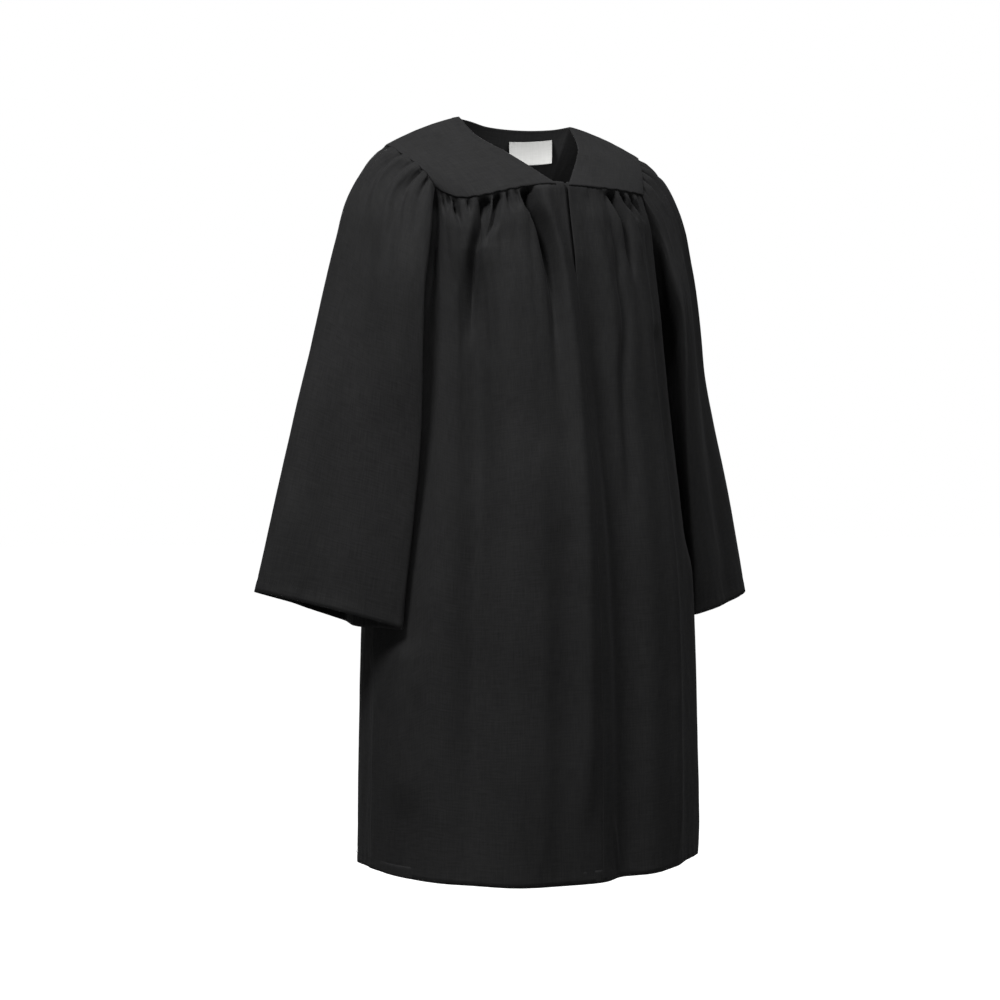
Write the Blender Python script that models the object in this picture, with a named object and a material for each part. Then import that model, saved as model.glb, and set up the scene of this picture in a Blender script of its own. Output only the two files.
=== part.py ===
"""Child's graduation gown, hollow and filled out as when worn.

Metres, +Z up, front towards -Y, the wearer's left at +X. The origin is the middle of the
shoulder line, level with the two points where shoulder and neckline meet. Each piece that is
cut and sewn is one closed cloth wall: an outer sheet worked out from the section tables, and
the same sheet moved inwards by the wall.
"""
import math

import bmesh
import bpy
from mathutils import Vector

# Cloth and seams
WALL = 0.0014
SEAM_HALF_GAP = 0.00015
MITRE_LIMIT = 2.2
DIFF = 0.0005
LEAST_RELIEF = 1e-7
SAME_ANGLE = 1e-4
SEAM_ANGLE_STEP = 0.01
SEAM_TURN_STEP = 0.004
YOKE_STEP = 0.01
SHARP_EDGE = math.radians(50.0)

# Body sections, top to hem: height, half width, half depth, middle in y
BODY_SECTIONS = (
    (-0.070, 0.1405, 0.0935, -0.006),
    (-0.140, 0.1430, 0.1030, -0.010),
    (-0.200, 0.1470, 0.1120, -0.014),
    (-0.300, 0.1540, 0.1220, -0.018),
    (-0.380, 0.1610, 0.1300, -0.022),
    (-0.465, 0.1700, 0.1340, -0.025),
    (-0.620, 0.1750, 0.1380, -0.026),
    (-0.740, 0.1770, 0.1390, -0.026),
)
# Hem of the body: angle from centre front, height
HEM_HEIGHTS = (
    (-180.0, -0.7328),
    (-135.0, -0.7322),
    (-92.0, -0.7283),
    (-65.0, -0.7330),
    (-38.0, -0.7376),
    (-10.0, -0.7380),
    (15.0, -0.7366),
    (38.0, -0.7320),
    (60.0, -0.7303),
    (90.0, -0.7316),
    (135.0, -0.7325),
    (180.0, -0.7328),
)

# Top edge of the body: angles from centre front, heights
SEAM_Z_MIDDLE = -0.0745
BACK_SEAM_Z = -0.092
BACK_CORNER = math.radians(133.0)
UNDERARM = math.radians(90.0)
UNDERARM_Z = -0.200
ARMHOLE_FRONT_POWER = 1.6
ARMHOLE_BACK_POWER = 1.8

# Neckline. The front edge: share of the way down, x, y, z; its end lies on the yoke seam. The back
# edge: angle from the left neck point, height
NECK_POINT = (0.064, 0.0, 0.0)
FRONT_NECK_EDGE = (
    (0.00, 0.0640, 0.000, 0.0000),
    (0.25, 0.0580, -0.025, -0.0214),
    (0.55, 0.0384, -0.054, -0.0415),
)
BACK_NECK_DEPTH = 0.057
BACK_NECK_HEIGHTS = (
    (0.0, 0.0000),
    (30.0, -0.0003),
    (60.0, 0.0006),
    (90.0, 0.0029),
    (108.0, 0.0062),
    (125.0, 0.0066),
    (145.0, 0.0040),
    (180.0, 0.0000),
)

# Yoke, by side: shoulder tip, middle of the front side edge, front corner angle, front seam as
# angles and heights, end of the V edge in x, gathers under the seam and the angle they start at
BACK_SEAM_UNDER_NECK = math.radians(148.0)
YOKE_SIDES = {
    "right": dict(tip=(0.1450, 0.0, -0.034), front=(0.1325, -0.040, -0.0565), corner_deg=59.0,
                  seam=((0.0, -0.0745), (10.0, -0.0750), (21.0, -0.0800), (30.0, -0.0850),
                        (38.0, -0.0890), (47.0, -0.0905), (54.0, -0.0855), (59.0, -0.0785)),
                  v_end=-0.0125, gathers=8, gathers_from=13.0),
    "left": dict(tip=(0.1470, 0.0, -0.026), front=(0.1300, -0.033, -0.0465), corner_deg=50.5,
                 seam=((0.0, -0.0745), (28.0, -0.0748), (50.5, -0.0745)),
                 v_end=0.0008, gathers=5, gathers_from=15.0),
}
SHOULDER_BOW = 0.0030
SHOULDER_FALL = (0.0, 0.90, -0.35)
NECK_POINT_FALL = (0.30, 0.72, -0.38)
NECK_FALL = (0.0, 0.42, -0.80)
SEAM_FALL = (0.0, 0.22, -0.95)
YOKE_COLUMNS = 10
BACK_YOKE_COLUMNS = (4, 14, 4)

# Centre front slit: the left front laps over the right
SLIT_END_Z = -0.165
LAP_WIDTH_DEG = 4.2
LAP_DROP = 0.0023
LAP_FADE = 0.020
LAP_FROM_X = -0.0090
LAP_TO_X = -0.0015

# Gathers below the yoke seam
GATHER_HEIGHT = 0.0030
GATHER_LENGTH = 0.075
GATHER_START = 0.010
BACK_GATHERS = 12
GATHER_EDGE_DEG = 4.0
GATHER_EVEN = 0.72
GATHER_BEAT = 2.4
SIDE_PHASE = 1.3
BACK_PHASE = 0.6

# Largest folds of the body: angle and height at the top, at the middle and at the foot, height of
# the ridge (a groove is negative), half width in degrees
BODY_FOLDS = (
    (-14.5, -0.085, -8.0, -0.185, -1.5, -0.400, 0.0075, 4.2),
    (-18.5, -0.082, -14.5, -0.112, -12.0, -0.200, -0.0050, 2.8),
    (-2.0, -0.185, 6.8, -0.330, 4.4, -0.760, -0.0085, 5.5),
    (-40.8, -0.086, -48.5, -0.200, -53.5, -0.760, -0.0050, 4.8),
    (-33.0, -0.130, -30.0, -0.350, -27.0, -0.760, 0.0035, 8.5),
    (22.5, -0.076, 29.0, -0.112, 34.0, -0.200, -0.0042, 2.6),
    (28.0, -0.076, 34.0, -0.092, 42.0, -0.150, -0.0032, 2.4),
    (14.5, -0.150, 17.0, -0.240, 21.0, -0.700, 0.0040, 5.5),
    (40.0, -0.200, 42.0, -0.400, 42.0, -0.760, -0.0040, 9.0),
    (50.0, -0.085, 61.0, -0.200, 62.0, -0.760, 0.0050, 4.8),
    (-72.0, -0.505, -71.0, -0.600, -70.0, -0.660, 0.0040, 8.0),
    (96.0, -0.520, 96.0, -0.640, 96.0, -0.760, -0.0035, 8.0),
    (-97.0, -0.520, -97.5, -0.640, -98.0, -0.760, -0.0030, 8.0),
    (122.0, -0.180, 121.0, -0.450, 120.0, -0.760, 0.0050, 8.0),
    (-129.0, -0.180, -130.5, -0.450, -132.0, -0.760, 0.0050, 8.0),
    (141.0, -0.130, 142.0, -0.450, 143.0, -0.760, -0.0055, 6.5),
    (-144.0, -0.130, -145.0, -0.450, -146.0, -0.760, -0.0050, 6.5),
    (163.0, -0.120, 162.0, -0.450, 161.0, -0.760, 0.0060, 7.0),
    (-165.0, -0.120, -166.0, -0.450, -167.0, -0.760, 0.0055, 7.5),
    (180.0, -0.180, 179.0, -0.450, 178.0, -0.760, -0.0060, 6.0),
)
FOLD_RISE = 0.040

# Sleeve rings from head to hem. By column: share of the way down; outer fold x, z on the right
# and on the left; front fold x, y, z; underarm x, z; back fold x, y, z
SLEEVE_RINGS = (
    (0.06, 0.163, -0.052, 0.166, -0.041, 0.130, -0.066, -0.106, 0.1515, -0.208, 0.122, 0.060, -0.110),
    (0.14, 0.184, -0.084, 0.184, -0.072, 0.138, -0.074, -0.140, 0.1535, -0.222, 0.133, 0.065, -0.142),
    (0.24, 0.196, -0.121, 0.194, -0.110, 0.147, -0.082, -0.178, 0.1560, -0.243, 0.141, 0.067, -0.180),
    (0.36, 0.210, -0.172, 0.207, -0.163, 0.150, -0.085, -0.225, 0.1590, -0.272, 0.146, 0.067, -0.226),
    (0.50, 0.226, -0.236, 0.222, -0.231, 0.151, -0.085, -0.285, 0.1625, -0.315, 0.148, 0.064, -0.286),
    (0.64, 0.242, -0.300, 0.239, -0.299, 0.154, -0.084, -0.345, 0.1675, -0.362, 0.152, 0.061, -0.346),
    (0.78, 0.258, -0.364, 0.257, -0.366, 0.160, -0.082, -0.405, 0.1735, -0.412, 0.158, 0.057, -0.405),
    (0.90, 0.271, -0.419, 0.270, -0.424, 0.166, -0.080, -0.455, 0.1785, -0.460, 0.164, 0.053, -0.455),
    (1.00, 0.283, -0.4645, 0.281, -0.473, 0.169, -0.077, -0.4985, 0.1815, -0.499, 0.169, 0.050, -0.495),
)
UNDERARM_Y = -0.015
SLEEVE_BULGE = 0.010
ARMPIT_FRONT_SAG = (0.007, -0.006, -0.020)
ARMPIT_BACK_SAG = (0.009, 0.005, -0.023)
ARMPIT_SAG_SHARE = 0.50
SLEEVE_HEM_LIFT = 0.0025
LEFT_HEM_LIFT = 0.006
SLEEVE_GATHERS = 20
SLEEVE_GATHER_HEIGHT = 0.0034
SLEEVE_GATHER_SPAN = 0.24
SLEEVE_GATHER_EDGE = 0.04
SLEEVE_GATHER_EVEN = 0.75
SLEEVE_GATHER_BEAT = 31.0
SLEEVE_GATHER_START = 0.02
SLEEVE_GATHER_LENGTH = 0.13
SLEEVE_FOLD_RISE = 0.15

# Largest folds of the sleeves: place round the sleeve and share of the way down at the top and
# at the foot, height, half width round the sleeve
SLEEVE_FOLDS = {
    "right": ((0.10, 0.10, 0.12, 1.10, -0.0055, 0.040), (0.19, 0.05, 0.18, 0.60, 0.0035, 0.035),
              (0.90, 0.12, 0.88, 1.10, -0.0050, 0.040), (0.03, 0.45, 0.045, 1.10, 0.0040, 0.035)),
    "left": ((0.11, 0.12, 0.13, 1.10, -0.0050, 0.040), (0.05, 0.06, 0.06, 0.55, 0.0035, 0.035),
             (0.89, 0.12, 0.87, 1.10, -0.0055, 0.040), (0.95, 0.50, 0.94, 1.10, 0.0040, 0.035)),
}

# Rows down the body and the sleeves, as shares; columns halve after the fine rows
BODY_ROWS_FINE = (0.0, 0.008, 0.022, 0.045, 0.085, 0.1368)
BODY_ROWS_COARSE = (0.20, 0.29, 0.39, 0.50, 0.61, 0.73, 0.86, 1.0)
SLEEVE_ROWS_FINE = (0.0, 0.02, 0.06, 0.12, 0.20)
SLEEVE_ROWS_COARSE = (0.30, 0.41, 0.53, 0.65, 0.77, 0.89, 1.0)

# Fine columns: a front from its middle to the yoke corner, the back between its corners, and a
# quarter of the way round a sleeve head, which the armhole and the yoke's side edge share
FRONT_COLUMNS = 28
BACK_COLUMNS = 48
QUARTER_COLUMNS = 16

# Arm bar: the seams open square to the way from this bar
BAR_HALF = 0.110
BAR_Z = -0.115

# Label inside the back neck, where it shows, hanging plumb from its top edge: place round the
# neckline, size, depth of its top below the edge
LABEL_ANGLE = math.radians(43.2)
LABEL_WIDTH = 0.047
LABEL_HEIGHT = 0.0240
LABEL_BELOW_EDGE = 0.014
LABEL_WALL = 0.0010
LABEL_GAP = 0.0006
LABEL_COLUMNS = 8
LABEL_ROWS = 4

# Colours and finish
CLOTH_COLOUR = (0.016, 0.016, 0.018, 1.0)
CLOTH_ROUGHNESS = 0.80
LABEL_COLOUR = (0.83, 0.83, 0.81, 1.0)
LABEL_ROUGHNESS = 0.55


def hermite(keys, values, x):
    """Smooth curve through the values at the keys, which may rise or fall."""
    last = len(keys) - 1
    down = keys[0] > keys[last]
    i = 0
    while i < last - 1 and ((x < keys[i + 1]) if down else (x > keys[i + 1])):
        i += 1

    def slope(j):
        low, high = max(j - 1, 0), min(j + 1, last)
        return (values[high] - values[low]) / (keys[high] - keys[low])

    span = keys[i + 1] - keys[i]
    t = min(max((x - keys[i]) / span, 0.0), 1.0)
    a, b = values[i], values[i + 1]
    m, n = slope(i) * span, slope(i + 1) * span
    return ((2 * t ** 3 - 3 * t ** 2 + 1) * a + (t ** 3 - 2 * t ** 2 + t) * m
            + (3 * t ** 2 - 2 * t ** 3) * b + (t ** 3 - t ** 2) * n)


def through_rows(rows, x, column=1):
    """Smooth curve through one column of a table whose first column holds the keys."""
    return hermite([row[0] for row in rows], [row[column] for row in rows], x)


def smooth_step(x):
    """0 below 0, 1 above 1, smooth between."""
    t = min(max(x, 0.0), 1.0)
    return t * t * (3.0 - 2.0 * t)


def bell(x):
    """1 at the middle, fading to 0 within about two half widths."""
    return math.exp(-x * x)


def curve_through(start, middle, end, t):
    """Point on the parabola that runs through three points."""
    a, b, c = Vector(start), Vector(middle), Vector(end)
    return a * (2 * t - 1) * (t - 1) + b * 4 * t * (1 - t) + c * t * (2 * t - 1)


def shoulder_line(neck, tip, t):
    """Shoulder seam from the neck to the tip, bowed up a little."""
    return neck.lerp(tip, t) + Vector((0.0, 0.0, SHOULDER_BOW * 4.0 * t * (1.0 - t)))


def side_of(angle):
    """The wearer's side that an angle lies on."""
    return "left" if angle >= 0.0 else "right"


def sign_of(side):
    """+1 on the left, where x is above 0, and -1 on the right."""
    return 1.0 if side == "left" else -1.0


def wrap_angle(angle):
    """The same direction between -180 and 180 degrees."""
    return (angle + math.pi) % (2.0 * math.pi) - math.pi


def body_section(z):
    """Half width, half depth and middle of the body at a height."""
    return [through_rows(BODY_SECTIONS, z, column) for column in (1, 2, 3)]


def body_base(angle, z):
    """The body without folds, on its rounded section at this height."""
    width, depth, middle = body_section(z)
    return Vector((width * math.sin(angle), middle - depth * math.cos(angle), z))


def top_edge_z(angle):
    """Height of the seam that tops the body: yoke seam, armhole or back yoke seam."""
    angle = wrap_angle(angle)
    yoke = YOKE_SIDES[side_of(angle)]
    corner = math.radians(yoke["corner_deg"])
    turn = abs(angle)
    if turn <= corner:
        return through_rows(yoke["seam"], math.degrees(turn))
    if turn <= UNDERARM:
        rise = ((UNDERARM - turn) / (UNDERARM - corner)) ** ARMHOLE_FRONT_POWER
        return UNDERARM_Z + (yoke["seam"][-1][1] - UNDERARM_Z) * rise
    if turn <= BACK_CORNER:
        rise = ((turn - UNDERARM) / (BACK_CORNER - UNDERARM)) ** ARMHOLE_BACK_POWER
        return UNDERARM_Z + (BACK_SEAM_Z - UNDERARM_Z) * rise
    return BACK_SEAM_Z


def gather_wave(turn_deg, below, low_deg, high_deg, gathers, phase):
    """Uneven gathers between two angles, highest a little below the seam."""
    inside = smooth_step((turn_deg - low_deg) / GATHER_EDGE_DEG)
    inside *= smooth_step((high_deg - turn_deg) / GATHER_EDGE_DEG)
    if inside == 0.0 or below <= 0.0:
        return 0.0
    count = (turn_deg - low_deg) / (high_deg - low_deg) * gathers
    uneven = GATHER_EVEN + (1.0 - GATHER_EVEN) * math.sin(GATHER_BEAT * count + phase)
    along = smooth_step(below / GATHER_START) * math.exp(-below / (GATHER_LENGTH * uneven))
    wave = 0.5 - 0.5 * math.cos(2.0 * math.pi * count)
    return GATHER_HEIGHT * uneven * wave * along * inside


def body_relief(angle, z):
    """Height of folds and gathers over the plain body."""
    degrees = math.degrees(wrap_angle(angle))
    below = top_edge_z(angle) - z
    relief = 0.0
    for top_deg, top_z, mid_deg, mid_z, foot_deg, foot_z, height, half_width in BODY_FOLDS:
        line = hermite((top_z, mid_z, foot_z), (top_deg, mid_deg, foot_deg), z)
        away = (degrees - line + 180.0) % 360.0 - 180.0
        start = smooth_step((top_z - z) / FOLD_RISE)
        end = smooth_step((z - foot_z) / FOLD_RISE + 0.5)
        relief += height * bell(away / half_width) * start * end
    relief *= smooth_step(below / FOLD_RISE)
    yoke = YOKE_SIDES[side_of(degrees)]
    phase = SIDE_PHASE * sign_of(side_of(degrees))
    first, corner = yoke["gathers_from"], yoke["corner_deg"]
    relief += gather_wave(abs(degrees), below, first, corner, yoke["gathers"], phase)
    round_back = math.degrees(angle) % 360.0
    low = math.degrees(BACK_CORNER)
    relief += gather_wave(round_back, below, low, 360.0 - low, BACK_GATHERS, BACK_PHASE)
    return relief


def body_point(angle, share):
    """Outer face of the body. Share runs from the top seam, 0, to the hem, 1."""
    top = top_edge_z(angle)
    degrees = math.degrees(wrap_angle(angle))
    hem = through_rows(HEM_HEIGHTS, degrees)
    z = top + (hem - top) * share
    base = body_base(angle, z)
    width, depth, middle = body_section(z)
    out = Vector((math.sin(angle) / width, -math.cos(angle) / depth, 0.0)).normalized()
    return base + out * body_relief(angle, z)


def surface_normal(surface, u, v, turned=1.0):
    """Unit normal on the outer side. Turned is -1 where u to v turns the other way round."""
    du = surface(u + DIFF, v) - surface(u - DIFF, v)
    dv = surface(u, min(v + DIFF, 1.0)) - surface(u, max(v - DIFF, 0.0))
    return du.cross(dv).normalized() * turned


def seam_out(point):
    """Way out of the garment at a seam, square to the arm bar."""
    near = Vector((min(max(point.x, -BAR_HALF), BAR_HALF), 0.0, BAR_Z))
    return (point - near).normalized()


def seam_aside(before, after, out, towards):
    """Short move off a seam, square to it, to the side of a given direction."""
    aside = (after - before).cross(out).normalized()
    if aside.dot(towards) < 0.0:
        aside.negate()
    return aside * SEAM_HALF_GAP


def wall_inwards(normal, out=None, wall=WALL):
    """Way from the outer face to the inner one. At a seam it follows the shared way out."""
    if out is None:
        return -normal * wall
    share = max(out.dot(normal), 1.0 / MITRE_LIMIT)
    return -out * (wall / share)


def fall_curve(top, start, seam, t):
    """Curve that leaves the top along a given way and comes down onto the seam."""
    reach = (seam - top).length
    m, n = start * reach, Vector(SEAM_FALL) * reach
    return (top * (2 * t ** 3 - 3 * t ** 2 + 1) + m * (t ** 3 - 2 * t ** 2 + t)
            + seam * (3 * t ** 2 - 2 * t ** 3) + n * (t ** 3 - t ** 2))


def sleeve_column(side):
    """Columns of the outer fold in the ring table."""
    return (1, 2) if side == "right" else (3, 4)


def yoke_side_edge(side, t, back):
    """Edge of the yoke from the shoulder tip, 0, to its corner, 1, on the +X side."""
    yoke = YOKE_SIDES[side]
    if back:
        corner = body_base(BACK_CORNER, BACK_SEAM_Z)
        return fall_curve(Vector(yoke["tip"]), Vector(SHOULDER_FALL), corner, t)
    corner = body_base(math.radians(yoke["corner_deg"]), yoke["seam"][-1][1])
    return curve_through(yoke["tip"], yoke["front"], corner, t)


def armhole_point(side, turn):
    """Seam round the sleeve head on the +X side. Turn runs from the shoulder tip to the front."""
    turn = turn % 1.0
    corner = math.radians(YOKE_SIDES[side]["corner_deg"])
    sign = sign_of(side)
    if turn <= 0.25:
        return yoke_side_edge(side, turn / 0.25, back=False)
    if turn >= 0.75:
        return yoke_side_edge(side, (1.0 - turn) / 0.25, back=True)
    if turn <= 0.5:
        angle = corner + (UNDERARM - corner) * (turn - 0.25) / 0.25
    else:
        angle = UNDERARM + (BACK_CORNER - UNDERARM) * (turn - 0.5) / 0.25
    return body_base(angle, top_edge_z(sign * angle))


def sleeve_ring(side, row):
    """Eight points round one ring of a sleeve on the +X side, with their turns."""
    x_column, z_column = sleeve_column(side)
    outer = Vector((row[x_column], 0.0, row[z_column]))
    front, back = Vector(row[5:8]), Vector(row[10:13])
    under = Vector((row[8], UNDERARM_Y, row[9]))
    across_front, across_back = outer - front, outer - back
    front_out = Vector((across_front.y, -across_front.x, 0.0)).normalized()
    back_out = Vector((-across_back.y, across_back.x, 0.0)).normalized()
    front_mid = (outer + front) * 0.5 + front_out * SLEEVE_BULGE
    back_mid = (outer + back) * 0.5 + back_out * SLEEVE_BULGE
    near_hem = smooth_step(row[0] * 4.0 - 3.0)
    lift = Vector((0.0, 0.0, SLEEVE_HEM_LIFT * near_hem))
    if side == "left":
        front.z += LEFT_HEM_LIFT * near_hem
        back.z += LEFT_HEM_LIFT * near_hem
    sag = 1.0 - smooth_step(row[0] / ARMPIT_SAG_SHARE)
    front_under = (front + under) * 0.5 + Vector(ARMPIT_FRONT_SAG) * sag
    back_under = (back + under) * 0.5 + Vector(ARMPIT_BACK_SAG) * sag
    return ((0.0, outer), (0.125, front_mid + lift), (0.25, front), (0.375, front_under),
            (0.5, under), (0.625, back_under), (0.75, back), (0.875, back_mid + lift))


def closed_curve(points, turn):
    """Smooth closed curve through points given with their turns."""
    turn = turn % 1.0
    turns = [points[-2][0] - 1.0, points[-1][0] - 1.0] + [p[0] for p in points]
    turns += [points[0][0] + 1.0, points[1][0] + 1.0]
    places = [points[-2][1], points[-1][1]] + [p[1] for p in points] + [points[0][1], points[1][1]]
    return Vector([hermite(turns, [p[axis] for p in places], turn) for axis in range(3)])


def sleeve_relief(side, turn, share):
    """Gathers of the sleeve head, and the sleeve's largest folds."""
    turn = (turn + 0.5) % 1.0 - 0.5
    inside = smooth_step((SLEEVE_GATHER_SPAN - abs(turn)) / SLEEVE_GATHER_EDGE)
    beat = math.sin(SLEEVE_GATHER_BEAT * turn + len(side))
    uneven = SLEEVE_GATHER_EVEN + (1.0 - SLEEVE_GATHER_EVEN) * beat
    wave = 0.5 - 0.5 * math.cos(2.0 * math.pi * SLEEVE_GATHERS * turn)
    along = smooth_step(share / SLEEVE_GATHER_START)
    along *= math.exp(-share / (SLEEVE_GATHER_LENGTH * uneven))
    relief = SLEEVE_GATHER_HEIGHT * wave * uneven * along * inside
    for top_turn, top_share, foot_turn, foot_share, height, half_width in SLEEVE_FOLDS[side]:
        way = min(max((share - top_share) / (foot_share - top_share), 0.0), 1.0)
        away = (turn - top_turn - (foot_turn - top_turn) * way + 0.5) % 1.0 - 0.5
        start = smooth_step((share - top_share) / SLEEVE_FOLD_RISE)
        end = smooth_step((foot_share - share) / SLEEVE_FOLD_RISE)
        relief += height * bell(away / half_width) * start * end
    return relief


def sleeve_base(side, turn, share):
    """A sleeve without folds, on the +X side."""
    keys = [0.0] + [row[0] for row in SLEEVE_RINGS]
    points = [armhole_point(side, turn)]
    points += [closed_curve(sleeve_ring(side, row), turn) for row in SLEEVE_RINGS]
    return Vector([hermite(keys, [p[axis] for p in points], share) for axis in range(3)])


def sleeve_point(side, turn, share):
    """Outer face of a sleeve on the +X side. Share runs from its head, 0, to its hem, 1."""
    def plain(u, v):
        return sleeve_base(side, u, v)

    base = plain(turn, share)
    relief = sleeve_relief(side, turn, share)
    if abs(relief) < LEAST_RELIEF:
        return base
    return base + surface_normal(plain, turn, share) * relief


def mirrored(point, side):
    """Move a point from the +X side to its own side."""
    return Vector((point.x * sign_of(side), point.y, point.z))


def coons(top, bottom, left, right, u, v):
    """Patch between four curves. U runs along top and bottom, V from top to bottom."""
    across = left(v) * (1 - u) + right(v) * u
    down = top(u) * (1 - v) + bottom(u) * v
    corners = (top(0) * (1 - u) * (1 - v) + top(1) * u * (1 - v)
               + bottom(0) * (1 - u) * v + bottom(1) * u * v)
    return across + down - corners


def front_yoke_point(side, u, v):
    """Front yoke. U runs from the neckline to the sleeve, V from the shoulder to the seam."""
    yoke = YOKE_SIDES[side]
    sign = sign_of(side)
    corner = math.radians(yoke["corner_deg"]) * sign
    start = math.asin(yoke["v_end"] / body_section(SEAM_Z_MIDDLE)[0])
    neck = mirrored(Vector(NECK_POINT), side)
    tip = mirrored(Vector(yoke["tip"]), side)

    def seam(t):
        angle = start + (corner - start) * t
        return body_base(angle, top_edge_z(angle))

    def neckline(t):
        end = mirrored(seam(0.0), side)
        rows = FRONT_NECK_EDGE + ((1.0, end.x, end.y, end.z),)
        return mirrored(Vector([through_rows(rows, t, column) for column in (1, 2, 3)]), side)

    def sleeve_edge(t):
        return mirrored(yoke_side_edge(side, t, back=False), side)

    return coons(lambda t: shoulder_line(neck, tip, t), seam, neckline, sleeve_edge, u, v)


def back_yoke_top(u):
    """Top edge of the back yoke, from the right shoulder tip round the neck to the left one."""
    part, place = divmod(min(u, 2.999999), 1.0)
    if part == 1:
        angle = math.pi * (1.0 - place)
        height = through_rows(BACK_NECK_HEIGHTS, math.degrees(angle))
        return Vector((NECK_POINT[0] * math.cos(angle), BACK_NECK_DEPTH * math.sin(angle), height))
    side = "right" if part == 0 else "left"
    neck = mirrored(Vector(NECK_POINT), side)
    tip = mirrored(Vector(YOKE_SIDES[side]["tip"]), side)
    return shoulder_line(neck, tip, 1.0 - place if part == 0 else place)


def back_yoke_point(u, v):
    """Back yoke. U runs from 0, right, to 3, left: shoulder, neck, shoulder. It rounds over the
    shoulders and falls more steeply behind the neck."""
    side = -1.0 if u < 1.5 else 1.0
    across = min(u, 3.0 - u)
    neck_point_fall = Vector((side * NECK_POINT_FALL[0], NECK_POINT_FALL[1], NECK_POINT_FALL[2]))
    if across < 1.0:
        turn = BACK_CORNER + (BACK_SEAM_UNDER_NECK - BACK_CORNER) * across
        start = Vector(SHOULDER_FALL).lerp(neck_point_fall, across)
    else:
        turn = BACK_SEAM_UNDER_NECK + (math.pi - BACK_SEAM_UNDER_NECK) * (across - 1.0) * 2.0
        start = neck_point_fall.lerp(Vector(NECK_FALL), smooth_step((across - 1.0) * 2.0))
    seam = body_base(side * turn, BACK_SEAM_Z)
    return fall_curve(back_yoke_top(u), start, seam, v)


def material(name, colour, roughness):
    """Plain finish of one node."""
    finish = bpy.data.materials.new(name)
    finish.use_nodes = True
    shader = finish.node_tree.nodes["Principled BSDF"]
    shader.inputs["Base Color"].default_value = colour
    shader.inputs["Roughness"].default_value = roughness
    shader.inputs["Metallic"].default_value = 0.0
    return finish


def add_row_faces(faces, upper, lower, closed):
    """Triangles between two rows of point numbers. The lower row may have half the columns."""
    halved = len(upper) > len(lower)
    columns = len(lower) if closed else len(lower) - 1
    for i in range(columns):
        j = (i + 1) % len(lower)
        if halved:
            a, b, c = upper[2 * i], upper[2 * i + 1], upper[(2 * i + 2) % len(upper)]
            if None not in (a, b, c, lower[i], lower[j]):
                faces += [(a, b, lower[i]), (b, lower[j], lower[i]), (b, c, lower[j])]
        else:
            a, b = upper[i], upper[j]
            if None not in (a, b, lower[i], lower[j]):
                faces += [(a, b, lower[j]), (a, lower[j], lower[i])]


def cloth_wall(name, rows, finish, closed=False):
    """Closed wall from rows of (outer point, way inwards); None leaves a place out."""
    places, numbers = [], []
    for row in rows:
        numbers.append([])
        for place in row:
            numbers[-1].append(None if place is None else len(places))
            if place is not None:
                places.append(place)
    faces = []
    for upper, lower in zip(numbers, numbers[1:]):
        add_row_faces(faces, upper, lower, closed)
    bm = bmesh.new()
    outer = [bm.verts.new(point) for point, inwards in places]
    inner = [bm.verts.new(point + inwards) for point, inwards in places]
    for a, b, c in faces:
        bm.faces.new((outer[a], outer[b], outer[c]))
    bm.edges.ensure_lookup_table()
    bm.verts.index_update()
    rim = [tuple(v.index for v in edge.verts) for edge in bm.edges if edge.is_boundary]
    for a, b, c in faces:
        bm.faces.new((inner[c], inner[b], inner[a]))
    for a, b in rim:
        bm.faces.new((outer[a], outer[b], inner[b]))
        bm.faces.new((outer[a], inner[b], inner[a]))
    bmesh.ops.recalc_face_normals(bm, faces=bm.faces)
    mesh = bpy.data.meshes.new(name)
    bm.to_mesh(mesh)
    bm.free()
    mesh.shade_smooth()
    mesh.set_sharp_from_angle(angle=SHARP_EDGE)
    mesh.materials.append(finish)
    piece = bpy.data.objects.new(name, mesh)
    bpy.context.collection.objects.link(piece)
    return piece


def lap_offset(point):
    """How far the right front drops under the left one beside the slit."""
    across = smooth_step((point.x - LAP_FROM_X) / (LAP_TO_X - LAP_FROM_X))
    return LAP_DROP * across * smooth_step((point.z - SLIT_END_Z + LAP_FADE) / LAP_FADE)


def body_place(angle, share, edge_move, lap):
    """Outer point of the body and its way inwards."""
    point = body_point(angle, share)
    normal = surface_normal(body_point, angle, share, turned=-1.0)
    if lap:
        point = point - normal * lap_offset(point)
    out = None
    if share == 0.0:
        out = seam_out(point)
        before = body_point(angle - SEAM_ANGLE_STEP, 0.0)
        after = body_point(angle + SEAM_ANGLE_STEP, 0.0)
        turn = abs(wrap_angle(angle))
        corner = math.radians(YOKE_SIDES[side_of(wrap_angle(angle))]["corner_deg"])
        if corner - SAME_ANGLE <= turn <= BACK_CORNER + SAME_ANGLE:
            towards = Vector((-1.0 if wrap_angle(angle) > 0.0 else 1.0, 0.0, 0.0))
        else:
            towards = Vector((0.0, 0.0, -1.0))
        point = point + seam_aside(before, after, out, towards)
        if min(abs(turn - corner), abs(turn - BACK_CORNER)) < SAME_ANGLE:
            point = point + Vector((0.0, 0.0, -SEAM_HALF_GAP))
    return point + edge_move, wall_inwards(normal, out)


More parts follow.
